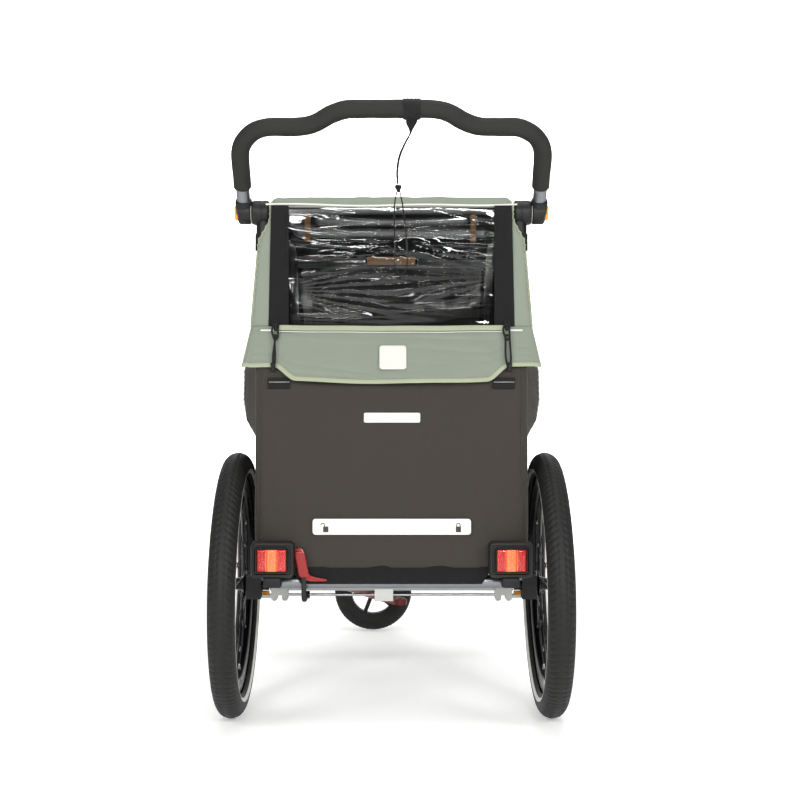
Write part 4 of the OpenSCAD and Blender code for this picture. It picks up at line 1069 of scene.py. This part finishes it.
def side_wall(side):
    """One curved side wall from the rear corner to the nose with its window, binding, hatched print, and a black sheet
    inside it as painted shade.
    """
    s = side_name(side)
    y = np.concatenate([np.linspace(-120, 40, 45), np.linspace(40, 280, 61)[1:], np.linspace(280, 640, 70)[1:]])
    low = 9.0
    top = np.interp(y, (-120, -30, 0, 30) + SLOPE_Y, (598, 598, 640, 655) + SLOPE_Z)
    t = np.concatenate([np.linspace(0, 0.735, 66), np.linspace(0.735, 0.925, 20)[1:], np.linspace(0.925, 1, 10)[1:]])
    yy, tt = grid(y, t)
    zz = low + (top[:, None] - low) * tt
    in_span = (yy >= 39.9) & (yy <= 280.1)
    window_rows = low + (top[:, None] - low) * tt
    window_rows = np.where((tt >= 0.7349) & (tt <= 0.9251), 490 + 120 * (tt - 0.735) / 0.19, window_rows)
    lower = np.where(tt < 0.735, low + (490 - low) * tt / 0.735, window_rows)
    upper = np.where(tt > 0.925, 610 + (top[:, None] - 610) * (tt - 0.925) / 0.075, lower)
    soften = step(yy, 5, 40) * (1 - step(yy, 280, 300))
    zz = zz * (1 - soften) + upper * soften
    wrinkle = 1.1 * creases(yy / 700, zz / 650, 31 + side, 60, 0.12, 0.012, (0.1, 0.9)) + 1.6 * elbow(yy,
        zz) * np.sin(zz / 9 + yy / 60) * 0.5
    back = np.clip(79 + (441 - zz) * math.tan(LEAN), 74, 120)
    yy = np.where(yy < -60, -60 + (yy + 60) / 60 * (back - 60), yy)
    places = shell_places(side, yy, zz, wrinkle * step(yy, -118, -100))
    hole = (in_span[:-1, :-1] & in_span[1:, 1:]) & (tt[:-1, :-1] >= 0.7349) & (tt[1:, 1:] <= 0.9251)
    wall = build(f"side_cloth_{s}", place(places), GREY, holes=hole)
    sewn(wall, 0.76, "stretched", [f"floor_rail_{s}", "roof_bows"], "warm_grey_fabric", f"side_panel_{s}")
    thicken(wall, 0.0014)
    # Black sheet inside the wall: painted shade, dark cloth standing in for the shaded inside of the cabin.
    inner_y, inner_t = grid(np.linspace(0, 600, 60), np.linspace(0, 1, 30))
    inner_top = np.interp(inner_y, [0, 300, 345, 392, 520, 600], [470, 470, 470, 470, 330, 180])
    inner_z = 12 + (inner_top - 12) * inner_t
    shade_sheet = build(f"side_shade_sheet_{s}", place(shell_places(side, inner_y, inner_z, -4.0)), BLACK_CLOTH)
    sewn(shade_sheet, 0.6, "stretched", [f"side_cloth_{s}"], "black_webbing")
    ry, rz = grid(np.linspace(38, 282, 70), np.linspace(488, 612, 40))
    pane = build(f"side_pane_{s}", place(shell_places(side, ry, rz,
        0.4 + 0.8 * creases(ry / 240, rz / 120, 41, 30, 0.3, 0.03))), VINYL)
    sewn(pane, 0.244, "stretched", [f"side_cloth_{s}"], "clear_vinyl", "cabin_windows")
    edge = rounded(120, 60, 14, 8)
    path = shell_places(side, 160 + edge[:, 0], 550 + edge[:, 1], 2.0)
    frame_line = tube(f"side_binding_{s}", place(path), 0.0034, BINDING, 10, (side, 0, 0.05), 0.5, closed=True)
    finish_piece(frame_line, "chassis", "sage_fabric", soft=True)
    hy, hz = grid(np.linspace(28, 118, 30), np.linspace(250, 372, 60))
    print_piece = build(f"hatched_print_{s}", place(shell_places(side, hy, hz, 1.9)), HATCH)
    sewn(print_piece, 0.09, "stretched", [f"side_cloth_{s}"], "ivory_plastic")
    front = np.linspace(300, 641, 120)
    front = np.column_stack([front, np.interp(front, SLOPE_Y, SLOPE_Z)])
    welt = tube(f"front_welt_{s}", place(shell_places(side, front[:, 0], front[:, 1], 0.5)), 0.0022, BINDING, 10,
        (1, 0, 0))
    finish_piece(welt, "chassis", "sage_fabric", soft=True)


def front_cover():
    """Sloping front sheet of the cover with a dark mesh window, rolled over at both sides, and a black sheet inside it
    as painted shade.
    """
    spine = spline([(302, TOP + 2), (345, TOP - 15), (400, TOP - 90), (475, 441), (560, 285), (644, 132), (652, 60),
        (653, 18)], 120)[::-1]
    half = np.full(len(spine), 240.0)
    def lift(x, row):
        return 1.4 * creases(x / 480, row / 120, 51, 30, 0.4, 0.02,
            (0.3, 0.7)) + 3 * np.sin(row / 119 * math.pi) * (1 - (x / 240) ** 2)
    places = rolled_sheet(spine, half, WINDOW, 14, 24, lift)
    inside = (spine[:, 1] < TOP - 72) & (spine[:, 1] > 182)
    rows = (int(np.argmax(inside)), len(spine) - 1 - int(np.argmax(inside[::-1])))
    sheet = build("front_cloth", place(places), SAGE, holes=window_mask(places.shape, rows), outward=False)
    sewn(sheet, 0.52, "stretched", ["roof_bows", "front_cross_tube"], "sage_fabric", "front_panel")
    thicken(sheet, 0.0012)
    # Black sheet inside the front cover: painted shade, dark cloth standing in for the shaded inside of the cabin.
    under = rolled_sheet(spine + [-3.5, -2], half - 4, WINDOW, 14, 16)
    shade_sheet = build("front_shade_sheet", place(under), BLACK_CLOTH, holes=window_mask(under.shape, rows), outward=False)
    sewn(shade_sheet, 0.5, "stretched", ["front_cloth"], "black_webbing")
    mesh_places = rolled_sheet(spine[rows[0] - 1:rows[1] + 2], half[rows[0] - 1:rows[1] + 2], 198, 8, 0.5)[:, 20:-20]
    screen = build("front_screen", place(mesh_places - [0, 1.5, 0]), SHADE, outward=False)
    sewn(screen, 0.4, "stretched", ["front_cloth"], "grey_shade")
    for x0 in (-WINDOW, WINDOW):
        line = np.column_stack([np.full(len(spine), x0), spine[:, 0] + 1.5, spine[:, 1] + 1.5])[rows[0]:rows[1]]
        welt = tube(f"front_binding_{'left' if x0 < 0 else 'right'}", place(line), 0.003, BINDING, 10)
        finish_piece(welt, "chassis", "sage_fabric", soft=True)


def toggles():
    """Black elastic looped through a barrel lock at each end of the flap, hanging past its hem to a hook."""
    for side in (-1, 1):
        s = side_name(side)
        x0 = 211 * side - (side < 0) * 1
        t = np.linspace(0, 1, 90)
        loops = []
        for k, (wide, top_s, end_s, phase) in enumerate(((5.5, -6, 30, 0), (3.0, 22, 88, 1.2))):
            a = t * 2 * math.pi
            xs = x0 + wide * np.sin(a) * (1 + 0.2 * np.sin(3 * a + phase)) + side * 2.5 * np.sin(a / 2 + phase) * k
            ss = (top_s + end_s) / 2 - (end_s - top_s) / 2 * np.cos(a)
            loops.append(tube(f"loop_{s}_{k}", place(flap_places(xs, ss, 7.5 + 1.4 * np.cos(a))), 0.0019, WEBBING,
                10, (0, 1, 0.2), closed=True))
        cord_piece = join(f"toggle_loops_{s}", loops)
        finish_piece(cord_piece, "chassis", "black_plastic", "flap_toggles", soft=True)
        for k, (ss, size) in enumerate(((4, 0.0042), (86, 0.0048))):
            at = place(flap_places(np.array([x0 + side * k * 2.0]), np.array([float(ss)]), 7.5)[0])
            line = [(0, 0), (0.7, 0), (1, 0.3), (1, 1.3), (0.8, 1.6), (0.8, 1.9), (1, 2.2), (1, 3.0), (0.7, 3.3),
                (0, 3.3)]
            barrel = lathe(f"cord_lock_{s}_{k}", np.array(line) * size, at + [0, 0, 1.65 * size], (0, 0.3, -1),
                BLACK, 28)
            finish_piece(barrel, "chassis", "black_plastic", soft=True)
        tab_x = side * 245.5
        tab = strap(f"corner_tab_{s}", place(np.column_stack([
            np.full(12, tab_x + side * 1.5), np.linspace(-84, -86, 12), np.linspace(612, 580,
                12)])), 0.008, 0.0022, WEBBING, (1, 0, 0))
        finish_piece(tab, "chassis", "black_webbing", soft=True)


def label_bar():
    """Pale bar with softened ends, an open padlock at its left and a closed one at its right."""
    bar = slab("label_plate", place((0.5, PANEL - 4.6, 76.5)), (0.1435, 0.0145), 0.0055,
               [(0, 0), (0, 0.0012), (0.0003, 0.0019), (0.001, 0.0023)], IVORY)
    finish_piece(bar, "chassis", "ivory_plastic", "label_bar", soft=True)
    parts = []
    for x, shift in ((-119, 5.5), (121, 0)):
        parts.append(slab(f"lock_body_{x}", place((x, PANEL - 6.8, 72)), (0.0048, 0.0052), 0.0008,
                          [(0, 0), (0, 0.0004), (0.0002, 0.0006)], INK))
        a = np.linspace(0, math.pi, 24)
        arc = np.column_stack([x - shift + 3.1 * np.cos(a), np.full(24, PANEL - 7.1), 80 + 3.1 * np.sin(a)])
        legs = np.array([[x - shift + 3.1, PANEL - 7.1, 76]])
        tail = np.array([[x - shift - 3.1, PANEL - 7.1, 76 if shift == 0 else 79]])
        parts.append(strap(f"lock_bow_{x}", place(np.concatenate([legs, arc, tail])), 0.0016, 0.0004, INK,
            (0.02, 0, 1)))
    marks = join("padlock_marks", parts)
    finish_piece(marks, "chassis", "dark_pad", soft=True)


# ---- Inside the cabin ----

def seat_frame(p):
    """Row places from the seat back's own frame: origin at its foot, leaning back by ten degrees."""
    p = np.asarray(p, float)
    c, s = math.cos(math.radians(10)), math.sin(math.radians(10))
    return place(np.stack([p[..., 0], 64 + p[..., 1] * c - p[..., 2] * s, 44 + p[..., 1] * s + p[..., 2] * c], -1))


def stuffed(name, half, corner, depth, to_row, material, cap, channels):
    """Padded block: its cut shape is remeshed, swollen by a short cloth run under pressure with each point's move
    held to a cap, then sewn channels are pressed in along the given lines as narrow bell-shaped grooves."""
    a, b = half
    rings = []
    for inset, height in ((6, 0), (1.5, 2), (0, depth * 0.35), (0, depth * 0.65), (1.5, depth - 2), (6, depth)):
        edge = rounded(a - inset, b - inset, corner)
        rings.append(np.column_stack([edge[:, 0], np.full(len(edge), height), edge[:, 1]]))
    pad = build(name, to_row(np.array(rings)), material, (False, True), True)
    pad.modifiers.new("remesh", "REMESH").voxel_size = 0.007
    scene = bpy.context.scene
    settled(pad)
    mesh = pad.data
    rest = np.zeros(len(mesh.vertices) * 3)
    mesh.vertices.foreach_get("co", rest)
    rest = rest.reshape(-1, 3)
    run = pad.modifiers.new("swell", "CLOTH")
    run.settings.use_pressure, run.settings.uniform_pressure_force = True, 4
    run.settings.effector_weights.gravity = 0
    for number in range(1, 21):
        scene.frame_set(number)
    shown = pad.evaluated_get(bpy.context.evaluated_depsgraph_get()).to_mesh()
    full = np.zeros(len(rest) * 3)
    shown.vertices.foreach_get("co", full)
    move = full.reshape(-1, 3) - rest
    far = np.linalg.norm(move, axis=1, keepdims=True)
    rest = rest + move * np.minimum(1, cap / np.maximum(far, 1e-9))
    pad.modifiers.remove(run)
    scene.frame_set(1)
    mesh.vertices.foreach_set("co", rest.ravel())
    mesh.update()
    normal = np.zeros(len(rest) * 3)
    mesh.vertex_normals.foreach_get("vector", normal)
    groove = channels(rest)[:, None]
    mesh.vertices.foreach_set("co", (rest - normal.reshape(-1, 3) * 0.004 * groove).ravel())
    mesh.polygons.foreach_set("use_smooth", [True] * len(mesh.polygons))
    smooth = pad.modifiers.new("smooth", "SUBSURF")
    smooth.levels = smooth.render_levels = 1
    return pad


def settled(piece):
    """Replaces a piece's mesh by what its modifiers make of it."""
    graph = bpy.context.evaluated_depsgraph_get()
    made = bpy.data.meshes.new_from_object(piece.evaluated_get(graph))
    piece.modifiers.clear()
    piece.data = made


def seat():
    """Seat cushion, leaning back cushion and head pad, with sewn channels, over a cloth board."""
    base = stuffed("seat_cushion", (164, 139), 30, 21, lambda p: place(np.stack([
        p[..., 0], 215 + p[..., 2], 44 + p[..., 1]], -1)), PAD_CLOTH, 0.007,
        lambda p: hump((p[:, 1] - AXLE_Y - 0.215) / 0.085 % 1, 0.5, 0.07))
    finish_piece(base, "chassis", "dark_pad", "seat_base")
    back = stuffed("back_cushion", (158, 253), 34, 20, lambda p: seat_frame(np.stack([
        p[..., 0], p[..., 1] - 24, 260 + p[..., 2]], -1)), PAD_CLOTH, 0.007,
        lambda p: hump((p[:, 2] - RAIL_Z) / 0.094 % 1, 0.5, 0.06) + hump(np.abs(p[:, 0]), 0.1, 0.004))
    finish_piece(back, "chassis", "dark_pad", "seat_back", soft=True)
    head = stuffed("head_cushion", (113, 64), 26, 14, lambda p: seat_frame(np.stack([
        p[..., 0], 4 + p[..., 1], 410 + p[..., 2]], -1)), PAD_CLOTH, 0.006, lambda p: 0 * p[:, 0])
    finish_piece(head, "chassis", "dark_pad", soft=True)


def harness():
    """Shoulder straps with sewn pads, a crotch strap and a moulded buckle."""
    z = np.linspace(330, 60, 60)
    for side in (-1, 1):
        s = side_name(side)
        path = seat_frame(np.column_stack([side * (59 - 6 * np.sin((330 - z) / 270 * math.pi)),
            9 + 12 * step(330 - z, 60, 270), z]))
        piece = strap(f"shoulder_strap_{s}", path, 0.038, 0.0022, WEBBING)
        finish_piece(piece, "chassis", "black_webbing", soft=True)
        pad = slab(f"shoulder_pad_{s}", (0, 0, 0), (0.023, 0.07), 0.009,
                   [(0.002, 0), (0, 0.002), (0, 0.006), (0.002, 0.009), (0.007, 0.0105)], PAD_CLOTH, "+Y",
                   lambda p: seat_frame(p * 1000 * [side, 1, 1] + [side * 55, 11, 250]))
        finish_piece(pad, "chassis", "dark_pad", soft=True)
    y = np.linspace(120, 232, 30)
    crotch = strap("crotch_strap", place(np.column_stack([0 * y, y, 76 + 16 * step(220 - y, 40, 100)])), 0.038,
        0.0024, WEBBING)
    finish_piece(crotch, "chassis", "black_webbing", "harness", soft=True)
    buckle = slab("harness_buckle", place((0, 112, 96)), (0.026, 0.024), 0.011,
                  [(0.001, 0), (0, 0.001), (0, 0.008), (0.002, 0.011), (0.008, 0.012), (0.009, 0.0112),
                      (0.016, 0.0112), (0.017, 0.0125)],
                  BLACK, "+Y")
    finish_piece(buckle, "chassis", "black_plastic", soft=True)


def sunshade():
    """Two rolls of the sunshade under the roof's rear edge, each a lumpy roll that narrows at its ends, with tan
    straps, and the tan-edged tab on the seat back's top."""
    back = BACK
    for name, half, y, z, r in (("shade_roll_top", 142, back + 22, TOP - 34, 7.5),
        ("shade_roll", 182, back + 24, TOP - 55, 9)):
        x = np.linspace(-half, half, 160)
        end = (half - np.abs(x)) / half
        radius = r * (0.35 + 0.65 * step(end, 0, 0.06)) * (1 + 0.03 * np.sin(x / 9) + 0.02 * np.sin(x / 3.7))
        path = np.column_stack([x, np.full(160, y), z - 2.0 * np.sin((x + half) / (2 * half) * math.pi)])
        roll = tube(name, place(path), radius / 1000, ROLL, 28, (0, 1, 0))
        finish_piece(roll, "chassis", "grey_shade", soft=True)
        if name == "shade_roll":
            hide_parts("sunshade")
    for side in (-1, 1):
        z = np.linspace(TOP - 16, TOP - 73, 30)
        band = strap(f"leather_strap_{side_name(side)}", place(np.column_stack([
            np.full(30, side * 153.0 - 2), back + 12 - 4 * np.sin((TOP - 16 - z) / 57
                * math.pi), z])), 0.0105, 0.0022, LEATHER)
        finish_piece(band, "chassis", "dark_pad", soft=True)
    tab = slab("back_tab", place((0, -34, 586)), (0.049, 0.028), 0.004, [(0, 0), (0, 0.002), (0.001, 0.003)],
        BLACK_CLOTH)
    edge = slab("back_tab_edge", place((-1, -37.5, 567)), (0.045, 0.0075), 0.002,
        [(0, 0), (0, 0.0012), (0.0006, 0.002)], LEATHER)
    for piece in (tab, edge):
        finish_piece(piece, "chassis", "dark_pad", soft=True)


def cargo_bag():
    """Lofted bag shell: a U-shaped section, rounded where its floor turns up, whose floor and walls sag between its
    held edges."""
    bottom, side, top = -8.5, 193.5, PANEL_TOP_UP - 5
    line = spline([(-side, top), (-side, 200), (-side, 60), (-side, 10), (-side + 6, bottom + 2),
        (-side + 22, bottom),
                   (-90, bottom), (0, bottom), (90, bottom), (side - 22, bottom), (side - 6, bottom + 2), (side, 10),
                   (side, 60), (side, 200), (side, top)], 161)
    v, k = grid(np.linspace(0, 1, 40), np.arange(161))
    x, z = line[:, 0][None] + 0 * v, line[:, 1][None] + 0 * v
    y = -114 + 112 * v
    wall = step(z, 20, 120)
    x = x - np.sign(x) * wall * (2.5 * np.sin(z / top * math.pi)
        * np.sin(v * math.pi) + 0.8 * np.abs(creases(v, z / 360, 61, 26, 0.3, 0.03)))
    z = z + (1 - wall) * 1.2 * np.abs(np.sin(v * 7) * np.sin(x / 40))
    keep = (v[:-1, :-1] > 0.58) & (z[:-1, :-1] < 4)
    bag = build("bag_cloth", place(np.stack([x, y, z], -1)), BLACK_CLOTH, holes=keep, outward=False)
    sewn(bag, 0.112, "hung", ["rear_panel"], "warm_grey_fabric", "cargo_bag")


# ---- Rigid trim ----

def corner_reflectors():
    """Rounded corner moulding with a raised rim and a foot, and in it a red reflector lens of three bars with a painted
    highlight and a faint painted glow.
    """
    # One corner reflector, which is no lamp: its lens glow is painted glow from the red lens finish.
    def lamp(side):
        s = side_name(side)
        centre = place((side * 214, PANEL - 3.6, 18.5))
        box = slab(f"reflector_box_{s}", centre, (0.039, 0.0325), 0.009,
                   [(0, 0), (0, 0.021), (0.0008, 0.0236), (0.0026, 0.0258), (0.0042, 0.0264), (0.0058, 0.0258),
                       (0.0066, 0.0236),
                    (0.0068, 0.022), (0.0088, 0.0216)], CHARCOAL)
        rim = slab(f"reflector_rim_{s}", centre + [side * 0.0015, 0.0, -0.001], (0.0302, 0.0236), 0.006,
                   [(0, 0.0175), (0, 0.0246), (0.0012, 0.0262), (0.0026, 0.0258), (0.0032, 0.0232),
                       (0.0034, 0.020)], BLACK)
        foot = slab(f"reflector_foot_{s}", place((side * 214, PANEL - 8, -22)), (0.016, 0.0095), 0.004,
                    [(0, 0), (0, 0.019), (0.002, 0.0215), (0.006, 0.022)], BLACK)
        for piece in (box, rim, foot):
            finish_piece(piece, "chassis", "black_plastic")
        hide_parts(f"corner_box_{s}")
        bars = []
        for k in (-1, 0, 1):
            bars.append(slab(f"lens_{s}_{k}", place((side * 215.5 + 17.5 * k, PANEL - 23, 17.3)), (0.0086, 0.0197),
                0.0016,
                             [(0, 0), (0, 0.004), (0.0005, 0.0052), (0.0016, 0.0058), (0.004, 0.0061)], LENS))
        lens = join(f"lens_{s}", bars)
        finish_piece(lens, "chassis", "red_lens")
        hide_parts("tail_reflectors")
    both(lamp)


def brake_pedal():
    """Pressed red lever: a thin tab at its top, a slanting blade and a tapering foot, as a strip whose middle line
    and width both change along it, and a cranked strap forward to the rod."""
    line = spline([(-174, 34.5, 2.4), (-170, 35, 3), (-166, 33, 6.5), (-165.5, 27, 9), (-162, 8, 9), (-159, -6, 9.2),
                   (-154, -13, 7), (-146, -16.5, 5), (-132, -18.4, 3.2), (-117, -19.6, 1.6)], 120)
    mid, wide = line[:, :2], line[:, 2]
    run = np.gradient(mid, axis=0)
    run /= np.linalg.norm(run, axis=1, keepdims=True)
    square = np.stack([-run[:, 1], run[:, 0]], -1)
    a = np.linspace(0, 2 * math.pi, 28, endpoint=False)[None]
    across = wide[:, None] * np.sign(np.cos(a)) * np.abs(np.cos(a)) ** 0.35
    deep = 2.6 * np.sign(np.sin(a)) * np.abs(np.sin(a)) ** 0.35 * np.minimum(1, wide[:, None] / 3)
    bow = 2.2 * hump(np.arange(120), 38, 12)[:, None] - 1.5 * hump(np.arange(120), 80, 10)[:, None]
    places = np.stack([mid[:, :1] + across * square[:, :1], PANEL - 10.6 + deep - bow,
        mid[:, 1:] + across * square[:, 1:]], -1)
    blade = build("pedal_blade", place(places), RED, (False, True), True)
    finish_piece(blade, "brake", "red_plastic", "brake_pedal")
    line = spline([(-158.5, PANEL - 10, -14), (-158.5, PANEL - 9, -40), (-158.5, PANEL - 1, -56),
        (-158.5, -100, -59), (-158.5, -66, -58), (-158.5, -58, -57)], 50)
    arm = strap("pedal_arm", place(line), 0.009, 0.006, CHARCOAL)
    finish_piece(arm, "brake", "red_plastic")
    ring = [(2.7, -6.5), (6.4, -6.5), (7, -5.9), (7, 5.9), (6.4, 6.5), (2.7, 6.5)]
    eye = lathe("pedal_eye", np.array(ring) / 1000, place((-158.5, -60, -56)), (1, 0, 0), CHARCOAL, 48, True)
    finish_piece(eye, "brake", "red_plastic")


def front_wheel():
    """Front wheel: a round-shouldered tyre with fine grooves, a dished rim, five waisted spokes and a hub."""
    low, high = (np.array(c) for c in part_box("caster_wheel"))
    centre = (low + high) / 2
    a, b = grid(np.linspace(0, 2 * math.pi, 360, endpoint=False), np.linspace(-1, 1, 41))
    r = 0.1 - 0.024 * np.abs(b) ** 3.2 - 0.0008 * step(np.sin(60 * a + 3 * np.abs(b)), 0.4,
        0.8) * (np.abs(b) < 0.7) * (np.abs(b) > 0.12)
    h = 0.0224 * np.sin(b * math.pi / 2)
    tyre_skin = build("front_tyre", centre + np.stack([r * np.cos(a), h, r * np.sin(a)], -1), TYRE, (True, False))
    finish_piece(tyre_skin, "caster_wheel", "tyre_rubber", "caster_wheel")
    rim_line = [(76, -20), (79, -21), (79, -17), (74, -14), (72, 0), (74, 14), (79, 17), (79, 21), (76, 20), (70, 17),
                (61, 15), (57, 12), (55.5, 0), (57, -12), (61, -15), (70, -17)]
    rim = lathe("front_rim", np.array(rim_line) / 1000, centre, (0, 1, 0), CHARCOAL, 120, True)
    hub_line = [(5.1, -20), (13, -20), (15, -18), (19, -16), (19.5, 0), (19, 16), (15, 18), (13, 20), (5.1, 20)]
    hub = lathe("front_hub", np.array(hub_line) / 1000, centre, (0, 1, 0), CHARCOAL, 60, True)
    spokes = []
    for k in range(5):
        turn = math.radians(-90 - 21 + 72 * k)
        t = np.linspace(0, 1, 20)
        path = centre + np.column_stack([(0.016 + 0.042 * t) * math.cos(turn), 0 * t,
            (0.016 + 0.042 * t) * math.sin(turn)])
        spokes.append(tube(f"front_spoke_{k}", path, 0.0095 + 0 * t, CHARCOAL, 20, (0, 1, 0), 0.55))
    star = join("front_spokes", spokes)
    for piece in (rim, hub, star):
        finish_piece(piece, "caster_wheel", "black_plastic")


def dress_frame():
    """Gives every CAD node that stays in view its own finish."""
    looks = {
        ALLOY: ["floor_rail_left", "floor_rail_right", "front_cross_tube", "axle_beam", "wheel_guards",
                "rear_hoop", "roof_bows"],
        TUBE_GREY: ["rear_cross_tube", "handlebar_tube"],
        CAST: ["frame_clamps"],
        MAROON: ["tow_arm"],
        RIM: ["spokes_left", "spokes_right"],
        STEEL: ["pivot_pins", "axle_left", "axle_right", "brake_rod", "clamp_screws"],
        BLACK: ["swing_arm_left", "swing_arm_right", "caster_fork", "tow_bracket", "caster_carrier"],
        CHARCOAL: ["wheel_button_left", "wheel_button_right"],
        YELLOW: ["suspension_bumpers"],
        BLACK_CLOTH: ["floor_pan"],
    }
    for material, nodes in looks.items():
        for node in nodes:
            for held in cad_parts[node].material_slots:
                held.material = material


# ---- Studio ----

def studio():
    """Pale floor that sweeps up behind the trailer in one curve, lit by two large soft lamps and a top lamp."""
    f = Finish("studio_paper", "f4f4f3", 0.9)
    f.feed("Base Color", f.mix(f.noise(2), srgb("f3f3f2"), srgb("f7f7f6")))
    f.feed("Emission Color", f.mix(f.noise(2), srgb("fafafa"), srgb("ffffff")))
    f.shader.inputs["Emission Strength"].default_value = 0.32
    line = spline([(-14, 0), (-6, 0), (0, 0), (3.2, 0), (4.6, 0.25), (5.6, 1.4), (5.9, 4), (6, 9)], 60)
    x, k = grid(np.linspace(-14, 14, 30), np.arange(60))
    sweep = build("studio_sweep", np.stack([x, line[:, 0][None] + 0 * x, line[:, 1][None] + 0 * x], -1), f.material,
        outward=False)
    sweep.location.z = -0.0004
    for name, spot, aim, size, power in (
        ("lamp_left", (-2.3, -3.6, 2.2), (0, -0.3, 0.6), (1.4, 1.4), 72),
        ("lamp_right", (2.4, -3.3, 1.9), (0, -0.3, 0.6), (1.2, 1.2), 54),
        ("lamp_top", (0.2, -0.3, 3.4), (0, -0.2, 0), (2.4, 2.4), 55),
        ("lamp_back", (0, 3.6, 3.2), (0, 6, 1.5), (4, 2), 260),
        ("lamp_streak", (0.3, -3.9, 1.55), (0, -0.4, 0.85), (2.2, 0.10), 70),
    ):
        light = bpy.data.lights.new(name, "AREA")
        light.shape, light.size, light.size_y, light.energy = "RECTANGLE", size[0], size[1], power
        lamp = bpy.data.objects.new(name, light)
        lamp.location = spot
        ahead = np.array(aim, float) - spot
        lamp.rotation_euler = (math.atan2(math.hypot(ahead[0], ahead[1]), -ahead[2]), 0,
            math.atan2(-ahead[0], ahead[1]))
        bpy.context.scene.collection.objects.link(lamp)
    world = bpy.data.worlds.new("studio")
    world.use_nodes = True
    world.node_tree.nodes["Background"].inputs["Color"].default_value = (1, 1, 1, 1)
    tree = world.node_tree
    ray, level = tree.nodes.new("ShaderNodeLightPath"), tree.nodes.new("ShaderNodeMath")
    level.operation = "MULTIPLY_ADD"
    level.inputs[1].default_value, level.inputs[2].default_value = 0.75, 0.16
    tree.links.new(ray.outputs["Is Camera Ray"], level.inputs[0])
    tree.links.new(level.outputs[0], tree.nodes["Background"].inputs["Strength"])
    bpy.context.scene.world = world
    bpy.context.scene.view_settings.view_transform = "Standard"


ROLL = metal("roll_film", "8d9090", 0.4)
MAROON = metal("maroon_tube", "6a3833", 0.4)
TUBE_GREY = metal("grey_tube", "85878a", 0.34)

wrist_strap()
foam_grip()
pivot_hubs()
release_buttons()
both(rear_wheel)
cover()
flap()
rear_window()
rear_panel()
both(side_wall)
front_cover()
toggles()
label_bar()
seat()
harness()
sunshade()
cargo_bag()
corner_reflectors()
brake_pedal()
front_wheel()
dress_frame()
studio()
